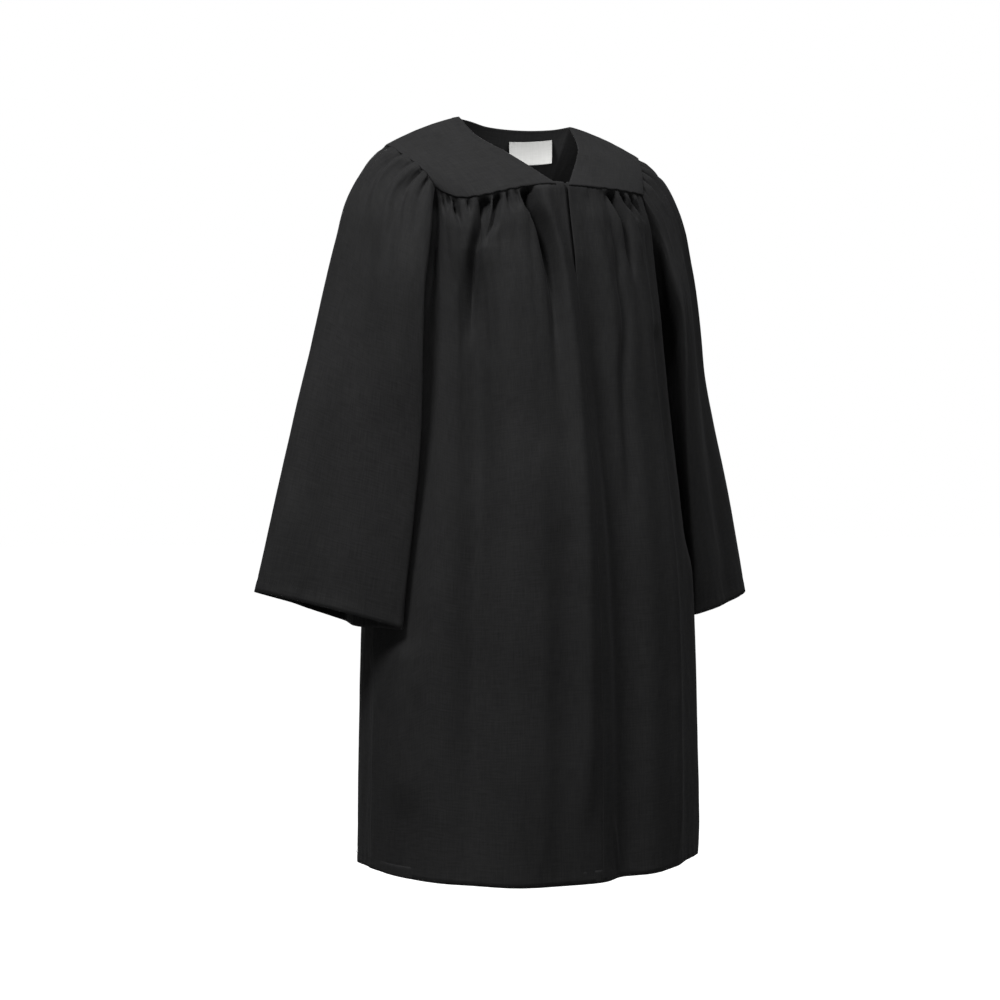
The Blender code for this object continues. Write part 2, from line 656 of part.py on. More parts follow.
def body_panel(name, angles, finish, lap_columns=0):
    """Panel over the given angles; its two long edges stand off the seams beside them."""
    rows = []
    for share in BODY_ROWS_FINE + BODY_ROWS_COARSE:
        coarse = share > BODY_ROWS_FINE[-1]
        step = 2 if coarse else 1
        row = []
        for i in range(0, len(angles), step):
            if i < lap_columns and coarse:
                row.append(None)
                continue
            angle = angles[i]
            ahead = Vector((math.cos(angle), math.sin(angle), 0.0)) * SEAM_HALF_GAP
            way = 1.0 if angles[-1] > angles[0] else -1.0
            first = i == lap_columns and (coarse or lap_columns == 0)
            move = ahead * way if first else Vector()
            if i == len(angles) - 1:
                move = ahead * -way
            row.append(body_place(angle, share, move, lap_columns > 0))
        rows.append(row)
    return cloth_wall(name, rows, finish)


def panel_angles(stops, counts):
    """Even columns between each two stops, one count for each."""
    angles = []
    for start, end, count in zip(stops, stops[1:], counts):
        angles += [start + (end - start) * i / count for i in range(count)]
    return angles + [stops[-1]]


def front_angles(side):
    """Columns of a front, from its middle to the underarm."""
    corner = math.radians(YOKE_SIDES[side]["corner_deg"])
    angles = panel_angles((0.0, corner, UNDERARM), (FRONT_COLUMNS, QUARTER_COLUMNS))
    return [angle * sign_of(side) for angle in angles]


def build_front_right(finish):
    """Right front, with the underlap of the slit."""
    lap = [math.radians(LAP_WIDTH_DEG), math.radians(LAP_WIDTH_DEG / 2)]
    return body_panel("front_right", lap + front_angles("right"), finish, lap_columns=len(lap))


def build_front_left(finish):
    """Left front, which laps over the right."""
    return body_panel("front_left", front_angles("left"), finish)


def build_back(finish):
    """Back panel, from underarm to underarm."""
    full = 2.0 * math.pi
    stops = (UNDERARM, BACK_CORNER, full - BACK_CORNER, full - UNDERARM)
    angles = panel_angles(stops, (QUARTER_COLUMNS, BACK_COLUMNS, QUARTER_COLUMNS))
    return body_panel("back", angles, finish)


def build_sleeve(side, finish):
    """Bell sleeve, closed round the arm, open at its head and its hem."""
    def surface(u, v):
        return sleeve_point(side, u, v)

    rows = []
    for share in SLEEVE_ROWS_FINE + SLEEVE_ROWS_COARSE:
        count = 4 * QUARTER_COLUMNS
        if share > SLEEVE_ROWS_FINE[-1]:
            count //= 2
        row = []
        for i in range(count):
            turn = i / count
            point = surface(turn, share)
            normal = surface_normal(surface, turn, share)
            out = None
            if share == 0.0:
                out = seam_out(point)
                before = armhole_point(side, turn - SEAM_TURN_STEP)
                after = armhole_point(side, turn + SEAM_TURN_STEP)
                point = point + seam_aside(before, after, out, Vector((1.0, 0.0, 0.0)))
            inwards = wall_inwards(normal, out)
            row.append((mirrored(point, side), mirrored(inwards, side)))
        rows.append(row)
    return cloth_wall("sleeve_" + side, rows, finish, closed=True)


def yoke_place(surface, u, v, ends, turned, shoulder_move):
    """Outer point of a yoke and its way inwards, moved off the seams at its edges."""
    point = surface(u, v)
    normal = surface_normal(surface, u, v, turned)
    out = None
    at_seam = v == 1.0 or "top" in ends or "sleeve" in ends
    if at_seam:
        out = seam_out(point)
    if v == 1.0:
        before, after = surface(u - YOKE_STEP, v), surface(u + YOKE_STEP, v)
        point = point + seam_aside(before, after, out, Vector((0.0, 0.0, 1.0)))
    if "sleeve" in ends:
        before = surface(u, max(v - YOKE_STEP, 0.0))
        after = surface(u, min(v + YOKE_STEP, 1.0))
        towards = Vector((-1.0 if point.x > 0.0 else 1.0, 0.0, 0.0))
        point = point + seam_aside(before, after, out, towards)
    if "top" in ends:
        point = point + Vector((0.0, shoulder_move * SEAM_HALF_GAP, 0.0))
    return point, wall_inwards(normal, out)


def build_front_yoke(side, finish):
    """Front yoke, from shoulder seam to yoke seam."""
    def surface(u, v):
        return front_yoke_point(side, u, v)

    rows = []
    for j in range(QUARTER_COLUMNS + 1):
        v = j / QUARTER_COLUMNS
        row = []
        for i in range(YOKE_COLUMNS + 1):
            ends = (["top"] if j == 0 else []) + (["sleeve"] if i == YOKE_COLUMNS else [])
            row.append(yoke_place(surface, i / YOKE_COLUMNS, v, ends, -sign_of(side), -1.0))
        rows.append(row)
    return cloth_wall("yoke_front_" + side, rows, finish)


def build_back_yoke(finish):
    """Back yoke in one piece, shoulder to shoulder."""
    stops = []
    for part, count in enumerate(BACK_YOKE_COLUMNS):
        stops += [part + i / count for i in range(count)]
    stops.append(3.0)
    rows = []
    for j in range(QUARTER_COLUMNS + 1):
        v = j / QUARTER_COLUMNS
        row = []
        for u in stops:
            on_shoulder = j == 0 and (u <= 1.0 or u >= 2.0)
            ends = (["top"] if on_shoulder else []) + (["sleeve"] if u in (0.0, 3.0) else [])
            row.append(yoke_place(back_yoke_point, u, v, ends, 1.0, 1.0))
        rows.append(row)
    return cloth_wall("yoke_back", rows, finish)


def build_label(finish):
    """Label held by its top edge on the inner face of the back yoke, hanging straight down."""
    middle = 2.0 - LABEL_ANGLE / math.pi
    reach = 0.5 * LABEL_WIDTH / (math.pi * 0.5 * (NECK_POINT[0] + BACK_NECK_DEPTH))
    drop = back_yoke_point(middle, 1.0) - back_yoke_point(middle, 0.0)
    rows = []
    v = LABEL_BELOW_EDGE / drop.length
    for j in range(LABEL_ROWS + 1):
        down = Vector((0.0, 0.0, -LABEL_HEIGHT * j / LABEL_ROWS))
        row = []
        for i in range(LABEL_COLUMNS + 1):
            u = middle + reach * (2.0 * i / LABEL_COLUMNS - 1.0)
            normal = surface_normal(back_yoke_point, u, v)
            point = back_yoke_point(u, v) - normal * (WALL + LABEL_GAP) + down
            level = Vector((normal.x, normal.y, 0.0)).normalized()
            row.append((point, -level * LABEL_WALL))
        rows.append(row)
    return cloth_wall("neck_label", rows, finish)


def main():
    """Build every piece in an empty scene."""
    for existing in list(bpy.data.objects):
        bpy.data.objects.remove(existing)
    builders = {
        "yoke_front_right": lambda finish: build_front_yoke("right", finish),
        "yoke_front_left": lambda finish: build_front_yoke("left", finish),
        "yoke_back": build_back_yoke,
        "front_right": build_front_right,
        "front_left": build_front_left,
        "back": build_back,
        "sleeve_right": lambda finish: build_sleeve("right", finish),
        "sleeve_left": lambda finish: build_sleeve("left", finish),
    }
    for name, build in builders.items():
        build(material(name + "_cloth", CLOTH_COLOUR, CLOTH_ROUGHNESS))
    build_label(material("neck_label_cloth", LABEL_COLOUR, LABEL_ROUGHNESS))


main()
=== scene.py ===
"""Looks of a child's black graduation gown, filled out with no wearer.

Metres, +Z up, front towards -Y, the wearer's left at +X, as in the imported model. Each cut piece
is a thin cloth shell on the form of its solid, with finer folds, gathers, hems and stitching.
"""
import math

import bmesh
import bpy
import numpy as np
from mathutils import Matrix, Vector


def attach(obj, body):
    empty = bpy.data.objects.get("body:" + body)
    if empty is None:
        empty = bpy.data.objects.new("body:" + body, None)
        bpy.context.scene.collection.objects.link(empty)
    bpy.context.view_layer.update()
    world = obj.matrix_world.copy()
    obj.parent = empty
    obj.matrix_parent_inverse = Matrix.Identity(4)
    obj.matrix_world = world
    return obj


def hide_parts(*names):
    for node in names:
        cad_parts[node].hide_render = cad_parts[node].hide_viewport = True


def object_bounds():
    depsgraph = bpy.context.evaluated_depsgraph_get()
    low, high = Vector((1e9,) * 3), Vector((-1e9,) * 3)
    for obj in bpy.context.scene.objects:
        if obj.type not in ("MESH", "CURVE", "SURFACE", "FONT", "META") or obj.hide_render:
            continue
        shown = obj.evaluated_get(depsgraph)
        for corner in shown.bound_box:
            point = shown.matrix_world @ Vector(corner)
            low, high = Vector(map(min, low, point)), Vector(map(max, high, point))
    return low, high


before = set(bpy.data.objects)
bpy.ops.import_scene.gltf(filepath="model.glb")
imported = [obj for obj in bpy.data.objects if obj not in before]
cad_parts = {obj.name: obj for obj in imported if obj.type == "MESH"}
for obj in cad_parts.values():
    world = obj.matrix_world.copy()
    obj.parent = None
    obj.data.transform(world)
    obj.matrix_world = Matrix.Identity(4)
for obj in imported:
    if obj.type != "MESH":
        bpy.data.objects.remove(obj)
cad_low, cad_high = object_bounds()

# Cloth, and the strip of it that sinks under its neighbour at a seam
CLOTH = 0.0007
TUCK = 0.0035
TUCK_DROP = 0.0011
EDGE_ROLL = 0.0004
EDGE_ROLL_WIDTH = 0.0012

# Step for normals, in shares of a surface
DIFF = 0.0005

# Rough sizes of the pieces, for what is laid out along them
BODY_LENGTH = 0.65
BODY_RADIUS = 0.160
SLEEVE_LENGTH = 0.42
SLEEVE_GIRTH = 0.58
SLEEVE_RING = 0.55
YOKE_LENGTH = 0.085
YOKE_WIDTH = 0.10
BACK_YOKE_SIZE = (0.34, 0.11)

# Yokes: how far they lie above the gathered pieces, and the rolls at their edges
YOKE_PROUD = 0.0005
YOKE_RISE = 0.0006
YOKE_ROLL_WIDTH = 0.0010
YOKE_WAVE = 0.00012
NECK_ROLL = 0.0003
EDGE_PUSH = 0.0013
EDGE_PUSH_REACH = 0.05
SEAM_PUSH = 0.8 * EDGE_PUSH
PUSH_RATE = 19.0

# Body sections, top to hem: height, half width, half depth, middle in y
BODY_SECTIONS = (
    (-0.070, 0.1405, 0.0935, -0.006),
    (-0.140, 0.1430, 0.1030, -0.010),
    (-0.200, 0.1470, 0.1120, -0.014),
    (-0.300, 0.1540, 0.1220, -0.018),
    (-0.380, 0.1610, 0.1300, -0.022),
    (-0.465, 0.1700, 0.1340, -0.025),
    (-0.620, 0.1750, 0.1380, -0.026),
    (-0.740, 0.1770, 0.1390, -0.026),
)
# Hem of the body: angle from centre front, height
HEM_HEIGHTS = (
    (-180.0, -0.7328), (-135.0, -0.7322), (-92.0, -0.7283), (-65.0, -0.7330), (-38.0, -0.7376),
    (-10.0, -0.7380), (15.0, -0.7366), (38.0, -0.7320), (60.0, -0.7303), (90.0, -0.7316),
    (135.0, -0.7325), (180.0, -0.7328),
)

SEAM_Z_MIDDLE = -0.0745
BACK_SEAM_Z = -0.092
BACK_CORNER = math.radians(133.0)
UNDERARM = math.radians(90.0)
UNDERARM_Z = -0.200
ARMHOLE_FRONT_POWER = 1.6
ARMHOLE_BACK_POWER = 1.8

# Neckline. The front edge: share of the way down, x, y, z; its end lies on the yoke seam. The back
# edge: angle from the left neck point, height
NECK_POINT = (0.064, 0.0, 0.0)
FRONT_NECK_EDGE = (
    (0.00, 0.0640, 0.000, 0.0000),
    (0.25, 0.0580, -0.025, -0.0214),
    (0.55, 0.0384, -0.054, -0.0415),
)
BACK_NECK_DEPTH = 0.057
BACK_NECK_HEIGHTS = (
    (0.0, 0.0000), (30.0, -0.0003), (60.0, 0.0006), (90.0, 0.0029), (108.0, 0.0062),
    (125.0, 0.0066), (145.0, 0.0040), (180.0, 0.0000),
)
BACK_SEAM_UNDER_NECK = math.radians(148.0)
YOKE_SIDES = {
    "right": dict(tip=(0.1450, 0.0, -0.034), front=(0.1325, -0.040, -0.0565), corner_deg=59.0,
                  seam=((0.0, -0.0745), (10.0, -0.0750), (21.0, -0.0800), (30.0, -0.0850),
                        (38.0, -0.0890), (47.0, -0.0905), (54.0, -0.0855), (59.0, -0.0785)),
                  v_end=-0.0125, gathers=8, gathers_from=13.0),
    "left": dict(tip=(0.1470, 0.0, -0.026), front=(0.1300, -0.033, -0.0465), corner_deg=50.5,
                 seam=((0.0, -0.0745), (28.0, -0.0748), (50.5, -0.0745)),
                 v_end=0.0008, gathers=5, gathers_from=15.0),
}
SHOULDER_BOW = 0.0030
SHOULDER_FALL = (0.0, 0.90, -0.35)
NECK_POINT_FALL = (0.30, 0.72, -0.38)
NECK_FALL = (0.0, 0.42, -0.80)
SEAM_FALL = (0.0, 0.22, -0.95)

# Slit of the neck: its end, the underlap that drops beside it, and the rolled edge over it
SLIT_END_Z = -0.165
SLIT_LEAD = 0.006
SLIT_FADE = 0.022
LAP_WIDTH_DEG = 4.2
LAP_DROP = 0.0034
LAP_FADE = 0.030
LAP_FROM_X = -0.0036
LAP_TO_X = -0.0006
UNDERLAP_DROP = 0.0011
UNDERLAP_WIDTH = 0.0012
SLIT_ROLL = 0.0003
SLIT_ROLL_WIDTH = 0.0007

# Gathers under the yokes
GATHER_HEIGHT = 0.0024
GATHER_LENGTH = 0.075
GATHER_START = 0.006
GATHER_UNEVEN = 0.28
GATHER_UNEVEN_RATE = 2.4
BACK_GATHERS = 12
GATHER_EDGE_DEG = 4.0

# Largest folds of the body: angle and height at the top, at the middle and at the foot, height of
# the ridge (a groove is negative), half width in degrees
BODY_FOLDS = (
    (-33.0, -0.130, -30.0, -0.350, -27.0, -0.760, 0.0030, 8.5),
    (44.0, -0.200, 45.0, -0.400, 45.0, -0.760, -0.0030, 7.0),
    (-72.0, -0.505, -71.0, -0.600, -70.0, -0.660, 0.0040, 8.0),
    (96.0, -0.520, 96.0, -0.640, 96.0, -0.760, -0.0035, 8.0),
    (-97.0, -0.520, -97.5, -0.640, -98.0, -0.760, -0.0030, 8.0),
    (122.0, -0.180, 121.0, -0.450, 120.0, -0.760, 0.0050, 8.0),
    (-129.0, -0.180, -130.5, -0.450, -132.0, -0.760, 0.0050, 8.0),
    (141.0, -0.130, 142.0, -0.450, 143.0, -0.760, -0.0055, 6.5),
    (-144.0, -0.130, -145.0, -0.450, -146.0, -0.760, -0.0050, 6.5),
    (163.0, -0.120, 162.0, -0.450, 161.0, -0.760, 0.0060, 7.0),
    (-165.0, -0.120, -166.0, -0.450, -167.0, -0.760, 0.0055, 7.5),
    (180.0, -0.180, 179.0, -0.450, 178.0, -0.760, -0.0060, 6.0),
)
FOLD_RISE = 0.024
FOLD_FOOT = 0.040
SEAM_RISE = 0.018

# Fullness under the yokes: height, the angles it lies between and fades over, in front and
# behind, and how far down it rises and dies away
FULLNESS = 0.0060
FULL_FROM_DEG = 6.0
FULL_TO_DEG = 64.0
FULL_BEHIND_DEG = 130.0
FULL_FADE_DEG = 12.0
FULL_END_FADE_DEG = 14.0
FULL_RISE = 0.034
FULL_LENGTH = 0.14

# Folds and creases of the fronts as they show: height, half width in degrees, then angle and height
# of each point from the top down
FRONT_FOLDS = (
    (-0.0120, 2.3, ((-35.5, -0.082), (-38.6, -0.117), (-41.6, -0.141), (-44.2, -0.170),
                    (-46.0, -0.208), (-47.5, -0.245))),
    (-0.0115, 1.2, ((-29.8, -0.082), (-33.5, -0.117), (-38.6, -0.140))),
    (-0.0100, 1.2, ((-50.2, -0.082), (-49.0, -0.100), (-47.0, -0.122))),
    (0.0075, 3.6, ((-12.0, -0.070), (-9.2, -0.115), (-7.4, -0.139), (-6.2, -0.168), (-5.4, -0.207),
                   (-4.6, -0.255), (-4.8, -0.378), (-5.0, -0.500), (-6.0, -0.700))),
    (-0.0170, 1.5, ((22.3, -0.070), (25.0, -0.090), (27.5, -0.109), (28.4, -0.134), (29.5, -0.170))),
    (-0.0120, 1.3, ((28.3, -0.070), (32.0, -0.085), (38.0, -0.105))),
    (-0.0130, 1.3, ((34.3, -0.070), (39.0, -0.085), (45.0, -0.105))),
    (-0.0050, 2.8, ((19.0, -0.074), (19.5, -0.111), (21.5, -0.135), (20.6, -0.165), (21.5, -0.204),
                    (19.0, -0.253), (19.0, -0.311), (19.5, -0.430))),
    (0.0030, 3.0, ((9.5, -0.095), (12.4, -0.1365), (14.1, -0.166), (14.6, -0.205), (14.5, -0.253),
                   (14.7, -0.311), (15.0, -0.420))),
    (0.0045, 4.2, ((34.0, -0.110), (36.2, -0.162), (35.8, -0.250), (37.0, -0.310), (36.0, -0.450),
                   (35.0, -0.760))),
    (-0.0070, 3.2, ((-60.2, -0.080), (-59.5, -0.110), (-62.5, -0.145), (-64.5, -0.180), (-68.0, -0.240))),
    (-0.0055, 0.9, ((-56.5, -0.078), (-55.5, -0.092), (-54.5, -0.110))),
    (-0.0050, 0.8, ((-53.0, -0.080), (-52.6, -0.092), (-52.0, -0.106))),
    (-0.0050, 0.8, ((-43.5, -0.084), (-43.2, -0.096), (-42.8, -0.110))),
    (-0.0055, 0.8, ((-26.5, -0.077), (-26.0, -0.090), (-25.4, -0.108))),
    (-0.0050, 0.8, ((-23.0, -0.076), (-22.4, -0.088), (-21.8, -0.104))),
    (0.0022, 1.2, ((7.0, -0.690), (8.5, -0.712), (10.5, -0.745))),
    (-0.0020, 3.0, ((-64.0, -0.560), (-66.0, -0.640), (-66.0, -0.760))),
    (-0.0018, 4.0, ((-13.0, -0.400), (-13.0, -0.560), (-13.5, -0.760))),
    (0.0018, 3.2, ((-20.0, -0.330), (-20.0, -0.500), (-20.0, -0.760))),
    (0.0018, 3.5, ((-38.0, -0.240), (-39.0, -0.450), (-39.0, -0.760))),
    (0.0040, 6.0, ((62.0, -0.420), (62.0, -0.600), (62.0, -0.780))),
)
CREASE_RISE = 0.008
CREASE_SLOPE = 0.006
CREASE_LEAD = 0.012
CREASE_FOOT_SHARE = 0.6
CREASE_FOOT_LONGEST = 0.09
CREASE_EDGE = 0.0005
CREASE_EDGE_FADE = 0.005

# Long valleys of the fronts: height, half width in degrees, then angle, height and share of the
# depth at each point from the top down
DEEP_FOLDS = (
    (-0.0210, 7.2, ((2.0, -0.145, 0.0), (6.6, -0.206, 0.40), (8.4, -0.254, 0.60), (10.0, -0.311, 0.80),
                    (11.4, -0.378, 0.95), (11.8, -0.454, 1.0), (12.2, -0.529, 1.0), (12.2, -0.604, 0.95),
                    (11.5, -0.700, 0.80), (11.0, -0.800, 0.65))),
    (-0.0190, 9.0, ((-39.5, -0.140, 0.0), (-42.0, -0.180, 0.60), (-43.0, -0.250, 0.85),
                    (-43.0, -0.378, 1.0), (-42.5, -0.527, 1.0), (-42.0, -0.640, 0.7),
                    (-42.0, -0.760, 0.2))),
    (-0.0230, 2.2, ((-18.9, -0.060, 1.0), (-16.6, -0.0965, 1.0), (-13.4, -0.1157, 1.0),
                    (-11.6, -0.140, 0.85), (-10.8, -0.169, 0.60), (-11.0, -0.205, 0.30),
                    (-11.5, -0.245, 0.12), (-12.0, -0.300, 0.0))),
)

# Short creases in the gathers behind: seed, number, angles they lie between, and the least and
# most of their lean, depth, length and half width in degrees
BACK_CREASE_SEED = 21
BACK_CREASES = 22
BACK_CREASES_FROM = 136.0
BACK_CREASES_SPAN = 88.0
BACK_CREASE_LEAN = 50.0
BACK_CREASE_LEAN_TO = 0.08
BACK_CREASE_START = 0.004
BACK_CREASE_DEPTH = (0.0012, 0.0032)
BACK_CREASE_LENGTH = (0.014, 0.040)
BACK_CREASE_HALF_WIDTH = (0.9, 1.5)

# Sleeve rings from head to hem. By column: share of the way down; outer fold x, z on the right
# and on the left; front fold x, y, z; underarm x, z; back fold x, y, z
SLEEVE_RINGS = (
    (0.06, 0.163, -0.052, 0.166, -0.041, 0.130, -0.066, -0.106, 0.1515, -0.208, 0.122, 0.060, -0.110),
    (0.14, 0.184, -0.084, 0.184, -0.072, 0.138, -0.074, -0.140, 0.1535, -0.222, 0.133, 0.065, -0.142),
    (0.24, 0.196, -0.121, 0.194, -0.110, 0.147, -0.082, -0.178, 0.1560, -0.243, 0.141, 0.067, -0.180),
    (0.36, 0.210, -0.172, 0.207, -0.163, 0.150, -0.085, -0.225, 0.1590, -0.272, 0.146, 0.067, -0.226),
    (0.50, 0.226, -0.236, 0.222, -0.231, 0.151, -0.085, -0.285, 0.1625, -0.315, 0.148, 0.064, -0.286),
    (0.64, 0.242, -0.300, 0.239, -0.299, 0.154, -0.084, -0.345, 0.1675, -0.362, 0.152, 0.061, -0.346),
    (0.78, 0.258, -0.364, 0.257, -0.366, 0.160, -0.082, -0.405, 0.1735, -0.412, 0.158, 0.057, -0.405),
    (0.90, 0.271, -0.419, 0.270, -0.424, 0.166, -0.080, -0.455, 0.1785, -0.460, 0.164, 0.053, -0.455),
    (1.00, 0.283, -0.4645, 0.281, -0.473, 0.169, -0.077, -0.4985, 0.1815, -0.499, 0.169, 0.050, -0.495),
)
UNDERARM_Y = -0.015
SLEEVE_BULGE = 0.010
ARMPIT_FRONT_SAG = (0.007, -0.006, -0.020)
ARMPIT_BACK_SAG = (0.009, 0.005, -0.023)
ARMPIT_SAG_SHARE = 0.50
SLEEVE_HEM_LIFT = 0.0025
LEFT_HEM_LIFT = 0.006
SLEEVE_GATHERS = 20
SLEEVE_GATHER_HEIGHT = 0.0056
SLEEVE_GATHER_SPAN = 0.24
SLEEVE_GATHER_START = 0.02
SLEEVE_GATHER_LENGTH = 0.13
SLEEVE_GATHER_UNEVEN = 0.25
SLEEVE_GATHER_UNEVEN_RATE = 31.0
SLEEVE_FADE = 0.04
SLEEVE_FOLD_RISE = 0.15
SLEEVE_CREASE_RISE = 0.04
GROUND_SHIFT = 0.7

# Sharp creases of the sleeve heads: seeds, the gathers they lie between, and the least and most
# of their shift, lean, length, depth and half width, in shares of the sleeve and metres
HEAD_SEEDS = {"right": 31, "left": 32}
HEAD_CREASES_EACH_WAY = 4
HEAD_LEAD = 0.002
HEAD_START = 0.010
HEAD_SHIFT = (-0.006, 0.006)
HEAD_LEAN = (-0.10, 0.16)
HEAD_LENGTH = (0.04, 0.12)
HEAD_DEPTH = (0.0035, 0.0068)
HEAD_HALF_WIDTH = (0.0035, 0.0060)

# Folds of the sleeves: place round the sleeve and share of the way down at the top and at the
# foot, height, half width round the sleeve
SLEEVE_FOLDS = {
    "right": ((0.10, 0.10, 0.12, 1.10, -0.0055, 0.040), (0.19, 0.05, 0.18, 0.60, 0.0035, 0.035),
              (0.90, 0.12, 0.88, 1.10, -0.0050, 0.040), (0.03, 0.45, 0.045, 1.10, 0.0040, 0.035)),
    "left": ((0.11, 0.12, 0.13, 1.10, -0.0050, 0.040), (0.05, 0.06, 0.06, 0.55, 0.0035, 0.035),
             (0.89, 0.12, 0.87, 1.10, -0.0055, 0.040), (0.95, 0.50, 0.94, 1.10, 0.0040, 0.035)),
}
SLEEVE_CREASES = {
    "right": ((0.145, 0.02, 0.160, 0.34, -0.0022, 0.012), (0.020, 0.01, 0.030, 0.20, -0.0020, 0.009),
              (0.060, 0.01, 0.075, 0.26, -0.0020, 0.010), (0.960, 0.01, 0.950, 0.22, -0.0020, 0.010)),
    "left": ((0.060, 0.02, 0.070, 0.45, 0.0018, 0.008), (0.120, 0.01, 0.135, 0.30, -0.0022, 0.010),
             (0.030, 0.01, 0.040, 0.22, -0.0020, 0.009), (0.180, 0.04, 0.170, 0.16, -0.0030, 0.012)),
}

# Uneven ground of the cloth, in heights: broad drape, fine waves and crinkle, and the more of
# them near a seam
DRAPE = 0.0009
DRAPE_RISE = 0.05
FINE_HEIGHT = 0.00018
FINE_AT_SEAM = 0.0003
CRINKLE_HEIGHT = 0.00004
CRINKLE_AT_SEAM = 0.00016
SEAM_REACH = 0.05
SEAM_START = 0.006

# Hems: height of the turned band, groove of the stitching above it, puckers along it
HEM_BAND = 0.011
HEM_TURN_UP = HEM_BAND + 0.001
HEM_GAP = 0.00025
HEM_CLOTH = 0.0005
HEM_GROOVE = 0.00035
HEM_GROOVE_HALF = 0.0009
HEM_PUFF = 0.00025
HEM_PUFF_FADE = 0.003
HEM_DRAW = 0.00022
HEM_DRAW_REACH = 0.010
HEM_DRAW_PITCH = 0.0131
PUCKER = 0.3
PUCKER_PITCH = 0.0090
PUCKER_RATE = 91.0
STITCH_PITCH = 0.0030
STITCH_LENGTH = 0.0022
STITCH_RADIUS = 0.00022

# Label inside the back neck
LABEL_ANGLE = math.radians(43.2)
LABEL_WIDTH = 0.047
LABEL_HEIGHT = 0.0240
LABEL_BELOW_EDGE = 0.014
LABEL_OFF = 0.0021
LABEL_CLOTH = 0.0004
LABEL_CURL = 0.0006

# Panels of the body: name, the angles it lies between, columns and rows
BODY_PANELS = {
    "front_right": ("right_front_panel", LAP_WIDTH_DEG, -90.0, (196, 190)),
    "front_left": ("left_front_panel", 0.0, 90.0, (188, 190)),
    "back": ("back_panel", 90.0, 270.0, (250, 150)),
}

# Columns and rows of the other shells, and how far rows crowd towards the top
SLEEVE_GRID = (240, 150)
YOKE_GRID = (64, 56)
BACK_YOKE_GRID = (210, 60)
BODY_HEM_GRID = (420, 5)
SLEEVE_HEM_GRID = (240, 5)
LABEL_GRID = (42, 26)
BODY_CROWDING = 0.45
SLEEVE_CROWDING = 0.35

# Looks: darkest and lightest colour, thread of the weave, roughness, sheen
BLACK_TWILL = ((0.0095, 0.0095, 0.0098), (0.0165, 0.0165, 0.0168), 0.0009, 0.82, 0.02)
WHITE_SATIN = ((0.40, 0.40, 0.39), (0.47, 0.47, 0.46), 0.0005, 0.5, 0.1)
THREAD_COLOURS = ((0.007, 0.007, 0.0075), (0.013, 0.013, 0.0135))
THREAD_ROUGHNESS = (0.7, 0.8)
THREAD_SPECULAR = 0.2
THREAD_TWIST = 900.0
CLOTH_SPECULAR = 0.14
SHEEN_ROUGHNESS = 0.45
SHEEN_TINT = (0.75, 0.75, 0.78, 1.0)
ROUGHNESS_SWING = 0.06
PATCH_SCALE = 14.0
PATCH_SHARE = 0.3
BUMP_STRENGTH = 0.55
BUMP_DISTANCE = 0.00012
YARN_SCALES = ((900.0, 60.0, 1.0), (60.0, 900.0, 1.0))
THREAD_HEIGHT = 0.25
RIB_HEIGHT = 0.35
YARN_HEIGHT = 0.6

# Camera of the photo: turn round the gown, lens, distance, point looked at, step to its left
VIEW_DEG = -30.0
LENS = 85.0
CAMERA_DISTANCE = 2.361
LOOK_AT = (0.0, 0.0, -0.378)
CAMERA_ASIDE = 0.015

# Stage: light of the surroundings on the gown, the floor's height under it, its colour and how
# far it is lifted towards white for the camera
SURROUNDINGS = 0.075
FLOOR_BELOW = 0.30
FLOOR_REACH = 30.0
FLOOR_COLOUR = (0.25, 0.25, 0.25, 1.0)
FLOOR_GLOW = 1.0
WHITE = (1.0, 1.0, 1.0, 1.0)

# Soft lights: name, place, power, size
LIGHTS = (
    ("key", (-1.75, -0.95, 1.65), 66.0, 0.7),
    ("above", (-0.20, -0.80, 2.65), 66.0, 0.7),
    ("front", (-0.9, -2.7, 0.5), 6.0, 1.6),
    ("fill", (1.30, -2.20, 0.40), 6.0, 1.6),
    ("back", (0.90, 2.50, 0.90), 45.0, 1.2),
)
INSIDE_LIGHT = (0.035, 0.0, -0.045)
INSIDE_POWER = 0.10
INSIDE_SIZE = 0.03


# Curves and surfaces, for many points at once

def smooth_step(x):
    """0 below 0, 1 above 1, smooth between."""
    t = np.clip(x, 0.0, 1.0)
    return t * t * (3.0 - 2.0 * t)


def bell(x):
    """1 at 0, smoothly down to nothing on both sides."""
    return np.exp(-np.square(x))


def unit(vectors):
    """The vectors with length 1."""
    return vectors / np.linalg.norm(vectors, axis=-1, keepdims=True)


def row_of(point, count):
    """The same point many times."""
    return np.tile(np.asarray(point, float), (count, 1))


def hermite(keys, values, x):
    """Smooth curve through values at the keys; values are (keys, columns) or (keys, points, 3)."""
    keys, values = np.asarray(keys, float), np.asarray(values, float)
    way = 1.0 if keys[-1] > keys[0] else -1.0
    last = len(keys) - 1
    i = np.clip(np.searchsorted(keys * way, x * way) - 1, 0, last - 1)

    def pick(j):
        return values[j] if values.ndim == 2 else values[j, np.arange(len(x))]

    low, high = np.maximum(i - 1, 0), np.minimum(i + 2, last)
    span = (keys[i + 1] - keys[i])[:, None]
    t = np.clip((x - keys[i])[:, None] / span, 0.0, 1.0)
    a, b = pick(i), pick(i + 1)
    m = (b - pick(low)) / (keys[i + 1] - keys[low])[:, None] * span
    n = (pick(high) - a) / (keys[high] - keys[i])[:, None] * span
    return ((2 * t ** 3 - 3 * t ** 2 + 1) * a + (t ** 3 - 2 * t ** 2 + t) * m
            + (3 * t ** 2 - 2 * t ** 3) * b + (t ** 3 - t ** 2) * n)


def through_rows(rows, x):
    """Smooth curve through the columns of a table whose first column holds the keys."""
    table = np.array(rows)
    return hermite(table[:, 0], table[:, 1:], x)


